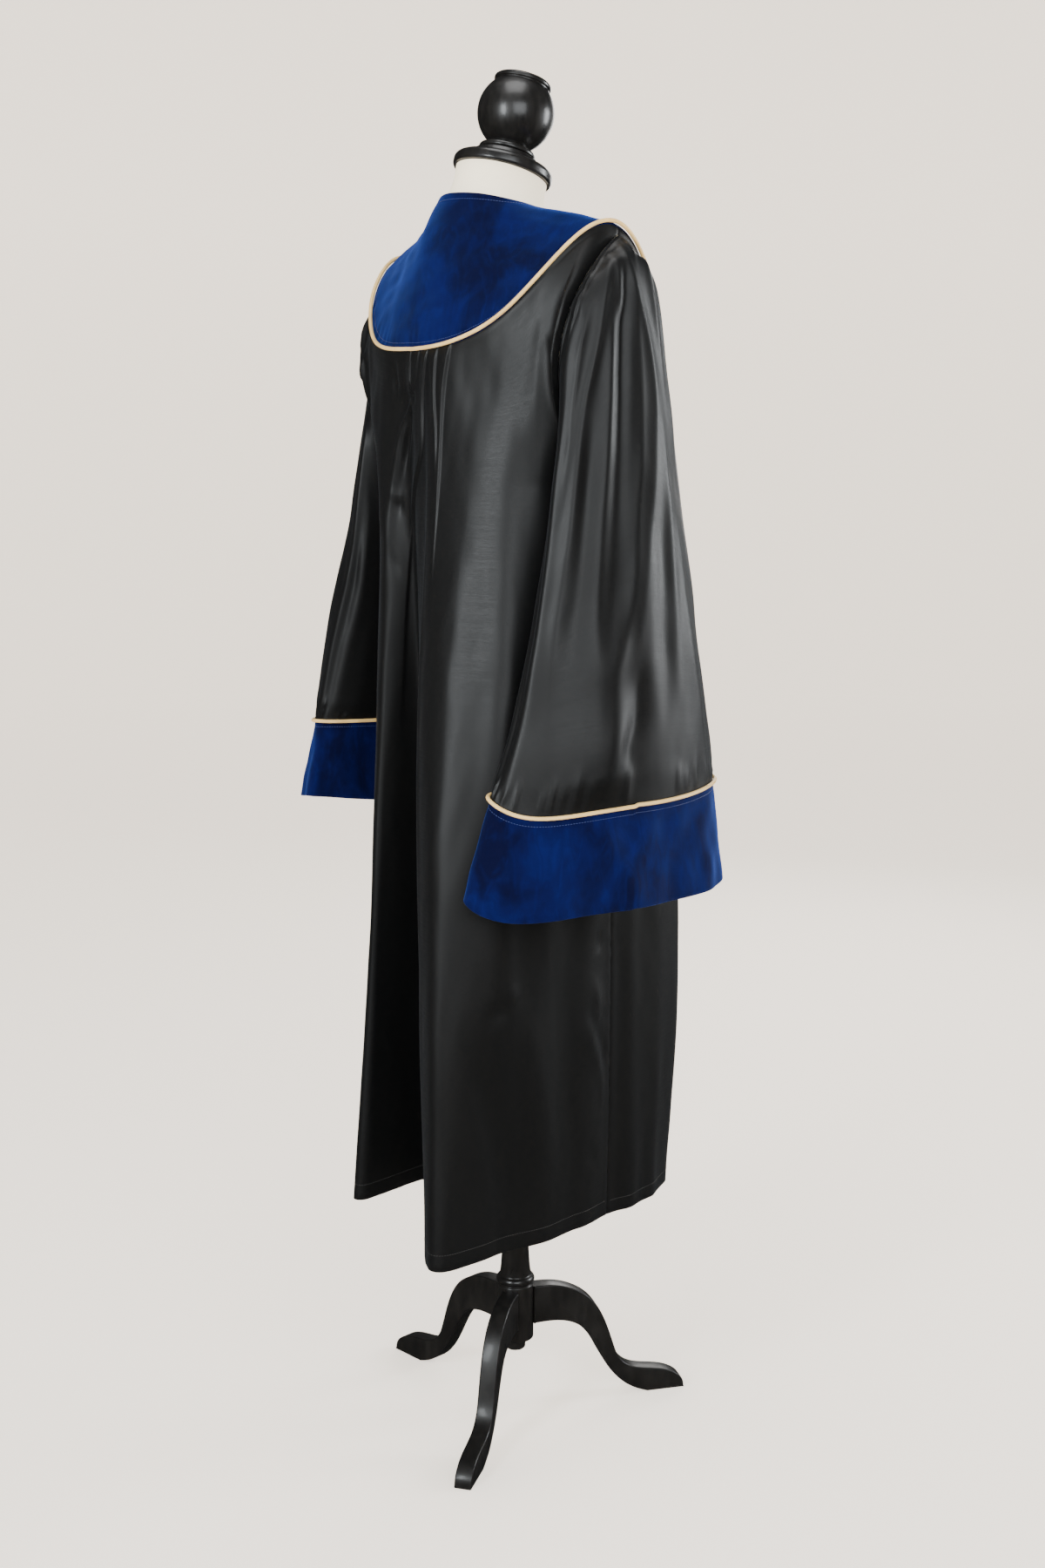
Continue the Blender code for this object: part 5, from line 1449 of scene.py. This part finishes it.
@dataclass(frozen=True)
class Sleeve:
    """One bell sleeve with its velvet cuff and the cord piped round the cuff's top."""

    side: Side
    sections: tuple[Section, ...]
    rim: Section
    creases: tuple[Crease, ...]
    gathers: list[Crease]
    cuff_creases: tuple[Crease, ...]
    seed: int
    flat: Pair
    cut_area: float
    cuff_flat: Pair
    cuff_area: float
    columns: int = 220
    rows: int = 158
    cuff_rows: int = 26
    cord_radius: float = 0.0023
    binding_radius: float = 0.0011
    binding_sunk: float = 0.0009

    def relief(self, turns: Array, along: Array, base: Array) -> Array:
        """Add up the sleeve's folds and gathers, in metres.

        Beside the armhole seam the cloth dips and then swells like a cord, and all folds but the
        puckers die out at the cuff.
        """
        height = Ripple(self.seed, 0.10, 0.42, 0.0007).relief(base)
        height += Ripple(self.seed + 1, 0.026, 0.14, 0.00010).relief(base)
        for crease in self.creases:
            height += crease.relief(turns, along, 360.0)
        height *= (ease(0.0, 0.035, along) * (1 - 0.85 * ease(0.93, 1.0, along)))[:, None]
        small = np.zeros_like(height)
        for crease in self.gathers:
            small += crease.relief(turns, along, 360.0)
        small *= (0.25 + 0.75 * ease(0.0, 0.022, along) - 0.85 * ease(0.978, 1.0, along))[:, None]
        height += small
        height += (0.0012 * bell(along, 0.016, 0.007))[:, None]
        height -= (0.0010 * bell(along, 0.0, 0.005))[:, None]
        return height

    def build(self, finishes: Wardrobe) -> None:
        """Make the sleeve, the binding sunk in its armhole seam, the cuff, its cord and its stitches."""
        word = self.side.word
        turns = np.arange(self.columns) * 360.0 / self.columns
        along = np.linspace(0, 1, self.rows) ** 1.15
        first = BodyCloth.armhole(self.side, turns)
        first[:, 0] += self.side.value * SEAM_GAP
        rings = np.array([first] + [section.ring(turns) for section in self.sections])
        base = natural_spline([0.0] + [section.at for section in self.sections], rings, along)
        centre = base.mean(axis=1, keepdims=True)
        normals = grid_normals(base, True, centre)
        normals[0] = unit((base[0] - centre[0]) * np.array((0.0, 1.0, 1.0)))
        outer = base + normals * self.relief(turns, along, base)[..., None]
        sleeve = make_shell(f"sleeve_{word}_cloth", outer, normals, SATIN_WALL, True, finishes.satin)
        binding = make_tube(f"armhole_{word}_binding", first - normals[0] * self.binding_sunk, normals[0],
                            self.binding_radius, 10, True, finishes.satin)
        LOG.info("sleeve_%s_cloth: sizes %s", word, sizes_of(outer, True))
        dress(sleeve, "black_satin", f"sleeve_{word}")
        dress(binding, "black_satin")
        self.build_cuff(finishes, turns, base[-1], normals[-1])

    def build_cuff(self, finishes: Wardrobe, turns: Array, seam: Array, seam_normals: Array) -> None:
        """Make the flared cuff: straight lines from the sleeve's low edge to the rim, softly fluted."""
        word = self.side.word
        low = self.rim.ring(turns)
        top = seam + unit(low - seam) * SEAM_GAP
        share = np.linspace(0, 1, self.cuff_rows)
        base = top * (1 - share)[:, None, None] + low * share[:, None, None]
        centre = base.mean(axis=1, keepdims=True)
        normals = grid_normals(base, True, centre)
        normals[0] = seam_normals
        height = Ripple(self.seed + 5, 0.06, 0.12, 0.0008).relief(base)
        for crease in self.cuff_creases:
            height += crease.relief(turns, share, 360.0)
        height *= ease(0.0, 0.22, share)[:, None]
        height -= (STITCH_SINK * bell(share, CUFF_STITCH_AT, 0.022))[:, None]
        outer = base + normals * height[..., None]
        cuff = make_shell(f"cuff_{word}_velvet", outer, normals, VELVET_WALL, True, finishes.velvet, 5)
        knots = np.arange(self.columns + 1)
        fine = np.arange(480) * 360.0 / 480 / 360.0 * self.columns
        lift = np.concatenate([base[0] + seam_normals * (self.cord_radius + 0.0006)] * 2)[:self.columns + 1]
        path = natural_spline(knots, lift, fine)
        up = np.concatenate([seam_normals, seam_normals[:1]])
        up = unit(natural_spline(knots, up, fine))
        cord = make_tube(f"cuff_{word}_cord", path, up, self.cord_radius, 16, True, finishes.cord)
        row = int(np.argmin(np.abs(share - CUFF_STITCH_AT)))
        face = grid_normals(outer, True, centre)
        sewn = stitch_line(f"cuff_{word}_stitches", outer[row], face[row], finishes.blue_thread, closed=True)
        LOG.info("cuff_%s_velvet: sizes %s", word, sizes_of(outer, True))
        dress(cuff, "blue_velvet", f"cuff_{word}")
        dress(cord, "gold_piping", f"cuff_piping_{word}")
        dress(sewn, "blue_velvet")


RIGHT_CUFF_CREASES = folds(
    (((20, 0, 2), (10, 0.383, 5), (1, 0.7, 6), (-3, 1, 6)), 7, 1.3, 1.6),
    (((28, 0.05, 0), (20, 0.55, -3.6), (15, 1, -4.4)), 7, 1.2),
    (((-19, 0.05, 0), (-19, 0.5, -3.4), (-20, 1, -3.6)), 7, 1.2),
    (((-48, 0, 1), (-46, 0.5, 3), (-46, 1, 4)), 9, 1.2),
    (((60, 0, 1), (62, 0.5, 3), (64, 1, 4)), 9, 1.2),
    (((104, 0, 1), (104, 0.5, 3), (106, 1, 4)), 11, 1.2),
    (((150, 0, 1), (152, 0.5, -2.4), (152, 1, -3)), 12, 1.2),
    (((-112, 0, 1), (-110, 0.5, 3), (-110, 1, 4)), 11, 1.2),
)
LEFT_CUFF_CREASES = folds(
    (((12, 0, 1), (14, 0.5, 3.6), (14, 1, 4.6)), 8, 1.3, 1.6),
    (((36, 0.05, 0), (36, 0.55, -3), (36, 1, -3.6)), 8, 1.2),
    (((62, 0, 1), (64, 0.5, 3), (66, 1, 4)), 9, 1.2),
    (((96, 0, 1), (98, 0.5, 3), (98, 1, 3.6)), 9, 1.2),
    (((-46, 0, 1), (-44, 0.5, 3), (-44, 1, 4)), 9, 1.2),
    (((-100, 0, 1), (-100, 0.5, 3), (-102, 1, 3.6)), 11, 1.2),
)
SLEEVES = (
    Sleeve(Side.RIGHT, RIGHT_SECTIONS, RIGHT_RIM, RIGHT_SLEEVE_CREASES, RIGHT_HEAD_AND_SEAM,
           RIGHT_CUFF_CREASES, 81, (0.74, 0.65), 0.27, (0.81, 0.12), 0.088),
    Sleeve(Side.LEFT, LEFT_SECTIONS, LEFT_RIM, LEFT_SLEEVE_CREASES, LEFT_HEAD_AND_SEAM,
           LEFT_CUFF_CREASES, 91, (0.65, 0.58), 0.215, (0.69, 0.12), 0.071),
)


# Zip


@dataclass(frozen=True)
class ZipFastening:
    """Zip down the centre front: woven tape, closed teeth, slider and hinged pull tab."""

    tape_half: float = 0.014
    tape_thick: float = 0.0010
    behind: float = 0.0034
    below_neckline: float = 0.004
    end_z: float = 0.52
    tooth_pitch: float = 0.0024
    slider: Triple = (0.0080, 0.0034, 0.0120)
    pull: Triple = (0.0070, 0.0012, 0.0300)
    yoke: Yoke = Yoke()

    def line(self, heights: Array) -> tuple[Array, Array]:
        """Give the tape's face behind the front edges, and its normals, at the given heights."""
        upper = self.yoke.surface(np.array([180.0]), np.linspace(0, 1, 12))[:, 0]
        lower = BodyCloth.surface(np.array([CENTRE_FRONT]), np.linspace(0.01, 1, 40))[:, 0]
        rise = np.concatenate([upper, lower])[::-1]
        depth = np.interp(heights, rise[:, 2], rise[:, 1])
        kernel = np.ones(5) / 5
        if len(heights) > 20:
            padded = np.concatenate([depth[:1].repeat(2), depth, depth[-1:].repeat(2)])
            depth = np.convolve(padded, kernel, "valid")
        slope = np.gradient(depth, heights)
        normal = unit(np.stack([0 * slope, -1 + 0 * slope, slope], -1))
        return np.stack([0 * depth, depth, heights], -1) - normal * self.behind, normal

    def build(self, finishes: Wardrobe) -> None:
        """Make every part of the zip."""
        top = self.yoke.collar_z - self.yoke.collar_rise - self.below_neckline
        face, normal = self.line(np.linspace(top, self.end_z, 120))
        across = np.linspace(-self.tape_half, self.tape_half, 9)[None, :, None] * np.array((1.0, 0, 0))
        tape = make_shell("zip_tape_woven", face[:, None] + across, np.repeat(normal[:, None], 9, axis=1),
                          self.tape_thick, False, finishes.tape, 2)
        dress(tape, "zip_tape", "zip_tape")
        self.build_teeth(finishes, face, normal)
        self.build_slider(finishes, top)

    def build_teeth(self, finishes: Wardrobe, face: Array, normal: Array) -> None:
        """Make two rows of teeth that lock: each row is shifted by half a pitch and to its own side."""
        run = run_along(face)
        count = int((run[-1] - 0.030) / self.tooth_pitch)
        for side in Side:
            at = 0.014 + (np.arange(count) + 0.25 * side.value) * self.tooth_pitch
            centres = read_along(at, run, face)
            up = unit(read_along(at, run, normal))
            sideways = np.tile(np.array((1.0, 0.0, 0.0)), (count, 1))
            centres = centres + sideways * side.value * 0.0011 + up * 0.0008
            down = np.cross(sideways, up)
            row = make_blocks(f"zip_teeth_{side.word}", centres, (sideways, down, up),
                              (0.0021, self.tooth_pitch * 0.23, 0.0009), finishes.brass, 0.7)
            dress(row, "zip_metal")

    def build_slider(self, finishes: Wardrobe, top: float) -> None:
        """Make the slider as a waisted plate with a bridge, and the pull hanging from a ring."""
        heights = np.concatenate([np.linspace(top, YOKE_RING[-1][2] + 0.0006, 7),
                                  np.linspace(1.30, self.end_z, 10)])
        face, normal = self.line(heights)
        up = normal[1]
        side = np.array((1.0, 0.0, 0.0))
        down = unit(np.cross(up, -side))
        seat = face[1] + up * (self.slider[1] / 2 + 0.0003)
        eye = seat + up * (self.slider[1] / 2 + 0.0012)
        turn = np.linspace(0, 2 * math.pi, 48, endpoint=False)
        width = self.slider[0] / 2 * (0.86 - 0.10 * np.sin(turn) - 0.06 * np.cos(2 * turn))
        wing = np.stack([np.sign(np.cos(turn)) * np.abs(np.cos(turn)) ** 0.6 * width,
                         np.sign(np.sin(turn)) * np.abs(np.sin(turn)) ** 0.7 * self.slider[2] / 2], -1)
        body = make_plate("zip_slider_body", wing, (seat, side, down, up), self.slider[1] / 2, 0.0007,
                          finishes.brass)
        arch = np.linspace(0, math.pi, 15)
        bridge_path = seat + down * (0.0034 * np.cos(arch))[:, None] \
            + up * (self.slider[1] / 2 - 0.0004 + 0.0021 * np.sin(arch))[:, None]
        bridge = make_tube("zip_slider_bridge", bridge_path, side[None] + 0 * bridge_path, 0.0006, 10, False,
                           finishes.brass)
        dress(body, "zip_metal", "zip_slider")
        dress(bridge, "zip_metal")
        length = self.pull[2]
        reach = np.array(((0.0, 0.0024), (0.12, 0.0033), (0.30, 0.0028), (0.70, 0.0033), (0.92, 0.0035),
                          (1.0, 0.0026)))
        at = np.linspace(0, 1, 24)
        half = natural_spline(reach[:, 0], reach[:, 1], at)
        line = np.concatenate([np.stack([half, at * (length - 0.005)], -1),
                               np.stack([-half, at * (length - 0.005)], -1)[::-1]])
        tab = make_plate("zip_pull_tab_plate", line, (eye + down * 0.0042, side, down, up), self.pull[1] / 2,
                         0.0004, finishes.brass)
        ring_turn = np.linspace(0, 2 * math.pi, 28, endpoint=False)
        ring_path = eye + down * (0.0021 - 0.0029 * np.cos(ring_turn))[:, None] \
            + side * (0.0020 * np.sin(ring_turn))[:, None]
        ring = make_tube("zip_pull_ring", ring_path, up[None] + 0 * ring_path, 0.00055, 10, True,
                         finishes.brass)
        dress(tab, "zip_metal", "zip_pull", body=Body.PULL)
        dress(ring, "zip_metal", body=Body.PULL)


def make_plate(name: str, outline: Array, place: tuple[Array, Array, Array, Array], half: float, edge: float,
               material: Material, steps: int = 5) -> Piece:
    """Give a flat outline a thickness with rounded edges.

    Ring by ring, the depth is half - edge * (1 - sin a) and the outline is drawn in by
    edge * (1 - cos a) against its own normals, with a from 0 to a quarter turn.

    Args:
        name: the piece's name.
        outline: corners (n, 2) of the flat shape.
        place: its origin, its two directions and the direction of its thickness.
        half: half the thickness.
        edge: radius of the edges.
        material: the finish.
        steps: rings on each edge.

    Returns:
        The plate as an object.
    """
    origin, first, second, upward = place
    ahead = unit(np.roll(outline, -1, axis=0) - np.roll(outline, 1, axis=0))
    area = np.sum(outline[:, 0] * np.roll(outline[:, 1], -1) - outline[:, 1] * np.roll(outline[:, 0], -1))
    inside = np.stack([-ahead[:, 1], ahead[:, 0]], -1) * math.copysign(1.0, area)
    angles = np.linspace(0, math.pi / 2, steps)
    depths = half - edge * (1 - np.sin(angles))
    insets = edge * (1 - np.cos(angles))
    depths = np.concatenate([-depths[::-1], depths])
    insets = np.concatenate([insets[::-1], insets])
    flat = outline[None] + inside[None] * insets[:, None, None]
    rings = origin + flat[..., :1] * first + flat[..., 1:] * second + depths[:, None, None] * upward
    rows, columns = rings.shape[:2]
    caps = np.array([np.arange(columns)[::-1], (rows - 1) * columns + np.arange(columns)])
    return make_piece(name, rings.reshape(-1, 3), [quads(rows, columns, True), caps], material, None, 35.0)


# Dress form and stand


CAP_CENTRE = (0.0, 0.0175, 1.560)
LEAN = 17.0
NECK_TOP_RADIUS = 0.0545
FORM_FOOT_Z = 0.80
YOKE_BACKING = 0.0022
NECK_SLACK = 0.0025


@dataclass(frozen=True)
class DressForm:
    """Limbless form under the robe: neck, shoulders and a plain torso, covered in jersey."""

    columns: int = 144
    girths: tuple[tuple[float, float, float, float], ...] = (
        (1.335, 0.15, 0.104, 0.02), (1.24, 0.137, 0.1, 0.012), (1.12, 0.118, 0.086, 0.008),
        (1, 0.124, 0.086, 0.006), (0.9, 0.134, 0.09, 0.004), (0.815, 0.13, 0.086, 0.004))

    def build(self, finishes: Wardrobe) -> None:
        """Make the form: a waisted neck, rows just under the yoke, girths and a rounded foot.

        The neck's rows run straight from the leaning cap to the neckline, drawn in by
        3 mm * sin(pi s), and the foot closes on a quarter circle.
        """
        yoke = Yoke()
        degrees = np.linspace(-180, 180, self.columns + 1)[:-1]
        turn = np.radians(degrees)
        slack = 0.0005 + 0.004 * np.cos(turn) ** 2 + 0.0018 * np.clip(np.sin(turn), 0, 1)
        circle = np.stack([np.sin(turn), np.cos(turn)], -1)
        top = leaned(np.column_stack([NECK_TOP_RADIUS * circle, np.full(len(turn), -0.0092)]), LEAN)
        top = top + np.array(CAP_CENTRE)
        under = yoke.surface(degrees, np.linspace(0, 1, 13))
        normals = grid_normals(under, True, YOKE_CENTRE)
        normals[-1] = BodyCloth.edge_normals(degrees)
        under = under - normals * (YOKE_BACKING + slack)[None, :, None]
        radius = yoke.collar_radius - YOKE_BACKING - NECK_SLACK
        under[0, :, 0], under[0, :, 1] = radius * circle[:, 0], NECK_Y + radius * circle[:, 1]
        rows = []
        for share in np.linspace(0, 1, 15)[:-1]:
            row = top * (1 - share) + under[0] * share
            middle = row.mean(axis=0)
            draw = 1 - 0.003 * math.sin(math.pi * share) / NECK_TOP_RADIUS
            rows.append(middle + (row - middle) * np.array((draw, draw, 1.0)))
        rows += list(under)
        girths = np.array(self.girths)
        first = self.girth_row(circle, girths[0])
        drop = (under[-1] + first) / 2
        drop[:, :2] = 0.45 * under[-1][:, :2] + 0.55 * first[:, :2]
        rows.append(drop)
        for level in np.linspace(0, len(girths) - 1, 31):
            rows.append(self.girth_row(circle, natural_spline(np.arange(len(girths)), girths, level)[0]))
        last = rows[-1]
        for angle in np.linspace(0, math.pi / 2, 7)[1:]:
            row = last.copy()
            row[:, :2] = last[:, :2] * (1 - 0.07 * (1 - math.cos(angle)))
            row[:, 2] = girths[-1, 0] - (girths[-1, 0] - FORM_FOOT_Z) * math.sin(angle)
            rows.append(row)
        form = cap_rings("form_jersey", np.array(rows), finishes.jersey, 60.0)
        dress(form, "cream_jersey", "form_torso")

    @staticmethod
    def girth_row(circle: Array, girth: Array) -> Array:
        """Give one oval of the torso from its height, half width, half depth and middle."""
        z, half_width, half_depth, middle = girth
        return np.column_stack([half_width * circle[:, 0], middle + half_depth * circle[:, 1],
                                np.full(len(circle), z)])


@dataclass(frozen=True)
class NeckTop:
    """Turned cap on the form's neck, and above it the ball finial with its ringed disc."""

    sides: int = 128
    ball_radius: float = 0.0454
    ball_at: float = 0.067
    cap: tuple[Triple, ...] = (
        (0.0575, -0.0085, 0), (0.059, -0.006, 0.0012), (0.059, 0.001, 0.0018), (0.0565, 0.005, 0.0022),
        (0.044, 0.0085, 0.0025), (0.04, 0.01, 0.0012), (0.0385, 0.0145, 0.0012), (0.034, 0.0165, 0))
    foot: tuple[Triple, ...] = (
        (0.03, 0.0168, 0), (0.0335, 0.018, 0.001), (0.0338, 0.0208, 0.0012), (0.0325, 0.0232, 0.001),
        (0.0252, 0.0246, 0.0018), (0.023, 0.0268, 0))
    disc: tuple[Triple, ...] = (
        (0.0322, 0, 0), (0.0322, 0.0014, 0.0005), (0.034, 0.0022, 0.0008), (0.034, 0.0056, 0.0012),
        (0.0312, 0.008, 0.001), (0.03, 0.0076, 0.0006), (0.0282, 0.0084, 0.0008), (0.02, 0.0098, 0.003),
        (0.008, 0.0102, 0))

    def build(self, finishes: Wardrobe) -> None:
        """Turn both pieces on the leaning axis."""
        cap = cap_rings("neck_cap_turned", lathe(rounded(self.cap), self.sides, LEAN, CAP_CENTRE),
                        finishes.turned, 40.0)
        profile = rounded(self.foot)
        start = math.asin(profile[-1][0] / self.ball_radius)
        end = math.asin(0.0320 / self.ball_radius)
        for angle in np.linspace(start, math.pi - end, 60)[1:]:
            profile.append((self.ball_radius * math.sin(angle),
                            self.ball_at - self.ball_radius * math.cos(angle)))
        top = profile[-1][1]
        profile += [(radius, top + along) for radius, along in rounded(self.disc)]
        ball = cap_rings("finial_turned", lathe(profile, self.sides, LEAN, CAP_CENTRE), finishes.turned, 40.0)
        dress(cap, "black_lacquer", "neck_cap")
        dress(ball, "black_lacquer", "finial")


@dataclass(frozen=True)
class TripodStand:
    """Turned post with its hub and plug, and three sawn S-curved legs."""

    hub_radius: float = 0.0235
    leg_half: float = 0.011
    leg_edge: float = 0.0018
    post: tuple[Triple, ...] = (
        (0.0112, 0.079, 0), (0.013, 0.0806, 0.0012), (0.013, 0.0935, 0.0004), (0.0222, 0.0938, 0.0006),
        (0.0235, 0.0952, 0.0012), (0.0235, 0.168, 0.001), (0.0215, 0.1695, 0.0008), (0.0245, 0.1722, 0.0014),
        (0.0251, 0.1755, 0.0018), (0.0236, 0.179, 0.0014), (0.0205, 0.1812, 0.0012), (0.019, 0.19, 0.004),
        (0.0172, 0.215, 0.01), (0.0175, 0.36, 0.02), (0.0175, FORM_FOOT_Z - 0.0003, 0))
    upper: tuple[Pair, ...] = (
        (0, 0.164), (0.03, 0.1625), (0.056, 0.154), (0.076, 0.14), (0.09, 0.121),
        (0.1, 0.098), (0.1085, 0.072), (0.117, 0.052), (0.13, 0.04), (0.148, 0.034),
        (0.172, 0.03), (0.192, 0.023), (0.205, 0.01), (0.2065, 0))
    lower: tuple[Pair, ...] = (
        (0.156, 0), (0.136, 0.008), (0.118, 0.021), (0.102, 0.04), (0.088, 0.064),
        (0.076, 0.086), (0.062, 0.103), (0.042, 0.112), (0.02, 0.114), (0, 0.113))
    bearings: tuple[tuple[str, float], ...] = (("near", 124), ("right", 244), ("left", 4))

    def outline(self) -> Array:
        """Smooth the leg's side view: a spline by running length above, and one below."""
        runs = []
        for table, count in ((self.upper, 90), (self.lower, 80)):
            points = np.array(table)
            run = run_along(points)
            runs.append(natural_spline(run, points, np.linspace(0, run[-1], count)))
        shape = np.concatenate(runs)
        shape[:, 1] = np.maximum(shape[:, 1], 0.0)
        return shape

    def build(self, finishes: Wardrobe) -> None:
        """Make post and legs."""
        post = cap_rings("stand_post_turned", lathe(rounded(self.post), 96), finishes.turned, 40.0)
        dress(post, "black_lacquer", "stand_post")
        shape = self.outline() + np.array((self.hub_radius - 0.0012, 0.0))
        for word, bearing in self.bearings:
            c, s = cos_sin(bearing)
            place = (np.zeros(3), np.array((c, s, 0.0)), np.array((0.0, 0.0, 1.0)), np.array((-s, c, 0.0)))
            leg = make_plate(f"leg_{word}_sawn", shape, place, self.leg_half, self.leg_edge, finishes.sawn)
            dress(leg, "black_lacquer", f"leg_{word}")


# Studio


@dataclass(frozen=True)
class SoftBox:
    """A rectangular light: its place about the post, its size, its power in watts and its tint."""

    name: str
    place: Triple
    size: Pair
    watts: float
    tint: Triple = (1.0, 1.0, 1.0)
    aim: Triple = (0.0, 0.0, 0.95)

    def build(self) -> None:
        """Hang the light and turn it to its aim."""
        data = bpy.data.lights.new(self.name, "AREA")
        data.shape = "RECTANGLE"
        data.size, data.size_y = self.size
        data.energy = self.watts
        data.color = self.tint
        lamp = bpy.data.objects.new(self.name, data)
        place = Vector(self.place) + Vector(POST_AT)
        aim = Vector(self.aim) + Vector(POST_AT)
        lamp.location = place
        lamp.rotation_euler = (aim - place).to_track_quat("-Z", "Y").to_euler()
        lamp.visible_camera = False
        bpy.context.collection.objects.link(lamp)


@dataclass(frozen=True)
class Studio:
    """Pale paper floor and backdrop, soft boxes, a dim room and the camera."""

    floor_radius: float = 7.0
    bowl_radius: float = 2.4
    camera_bearing: float = 230.0
    camera_distance: float = 2.5
    camera_height: float = 1.28
    camera_tilt: float = 10.3
    camera_aside: float = 0.0093
    lens: float = 47.0
    boxes: tuple[SoftBox, ...] = (
        SoftBox("key_box", (-0.66, 2.92, 1.90), (0.60, 1.4), 74.0, (0.92, 0.97, 1.0), (0.0, 0.0, 1.1)),
        SoftBox("side_box", (-1.30, -2.82, 1.45), (0.9, 1.3), 70.0, (0.95, 0.98, 1.0)),
        SoftBox("front_box", (1.60, -2.55, 1.75), (1.4, 1.4), 35.0, (1.0, 0.98, 0.95)),
        SoftBox("top_box", (-0.3, 0.3, 3.2), (1.2, 1.2), 30.0),
        SoftBox("fill_box", (-2.90, 1.60, 2.10), (2.2, 1.8), 75.0, (0.93, 0.97, 1.0)),
    )

    def build(self) -> None:
        """Set up the room."""
        paper = StudioPaper((0.76, 0.705, 0.635), 1.45).build("studio_paper")
        flat = [(radius, 0.0) for radius in (0.02, 0.5, 1.0, 2.0, 4.0, self.floor_radius)]
        floor = self.disc("floor", flat, paper)
        bowl = [(self.floor_radius + self.bowl_radius * math.sin(a), self.bowl_radius * (1 - math.cos(a)))
                for a in np.linspace(0, math.pi / 2, 16)]
        bowl += [(self.floor_radius + self.bowl_radius, self.bowl_radius + rise) for rise in (2.0, 4.0, 6.0)]
        backdrop = self.disc("backdrop", bowl, paper)
        floor.visible_glossy = backdrop.visible_glossy = False
        for box in self.boxes:
            box.build()
        world = bpy.data.worlds.new("studio_room")
        world.use_nodes = True
        world.node_tree.nodes["Background"].inputs["Color"].default_value = (0.9, 0.95, 1.0, 1.0)
        world.node_tree.nodes["Background"].inputs["Strength"].default_value = 0.03
        bpy.context.scene.world = world
        self.camera()

    @staticmethod
    def disc(name: str, profile: Sequence[Pair],
             paper: Material) -> Piece:
        """Turn a profile about the post into a sheet of paper, its face upwards."""
        rings = lathe(profile, 96)
        rows, columns = rings.shape[:2]
        faces = quads(rows, columns, True)[:, ::-1]
        mesh = bpy.data.meshes.new(name)
        extra = []
        if profile[0][0] < 0.1:
            extra = [list(range(columns))]
        mesh.from_pydata((rings.reshape(-1, 3) + POST_AT).tolist(), [], faces.tolist() + extra)
        mesh.shade_smooth()
        mesh.materials.append(paper)
        made = bpy.data.objects.new(name, mesh)
        bpy.context.collection.objects.link(made)
        return made

    def camera(self) -> None:
        """Place the camera at the photograph's angle, level across the picture."""
        bearing, tilt = math.radians(self.camera_bearing), math.radians(self.camera_tilt)
        out = Vector((math.sin(bearing), -math.cos(bearing), 0.0))
        right = Vector((out.y, -out.x, 0.0))
        data = bpy.data.cameras.new("camera")
        data.lens = self.lens
        data.sensor_width = 36.0
        made = bpy.data.objects.new("camera", data)
        made.location = Vector(POST_AT) + out * self.camera_distance - right * self.camera_aside
        made.location.z = self.camera_height
        look = -out * math.cos(tilt) + Vector((0.0, 0.0, -math.sin(tilt)))
        made.rotation_euler = look.to_track_quat("-Z", "Y").to_euler()
        bpy.context.collection.objects.link(made)
        bpy.context.scene.camera = made


def main() -> None:
    """Build the robe, the form and the stand, then the studio, and note the sizes."""
    logging.basicConfig(level=logging.INFO, format="%(name)s: %(message)s")
    finishes = Wardrobe.stocked()
    for panel in BODY_PANELS:
        panel.build(finishes)
    Yoke().build(finishes)
    for sleeve in SLEEVES:
        sleeve.build(finishes)
    ZipFastening().build(finishes)
    DressForm().build(finishes)
    NeckTop().build(finishes)
    TripodStand().build(finishes)
    Studio().build()


if __name__ == "__main__":
    main()
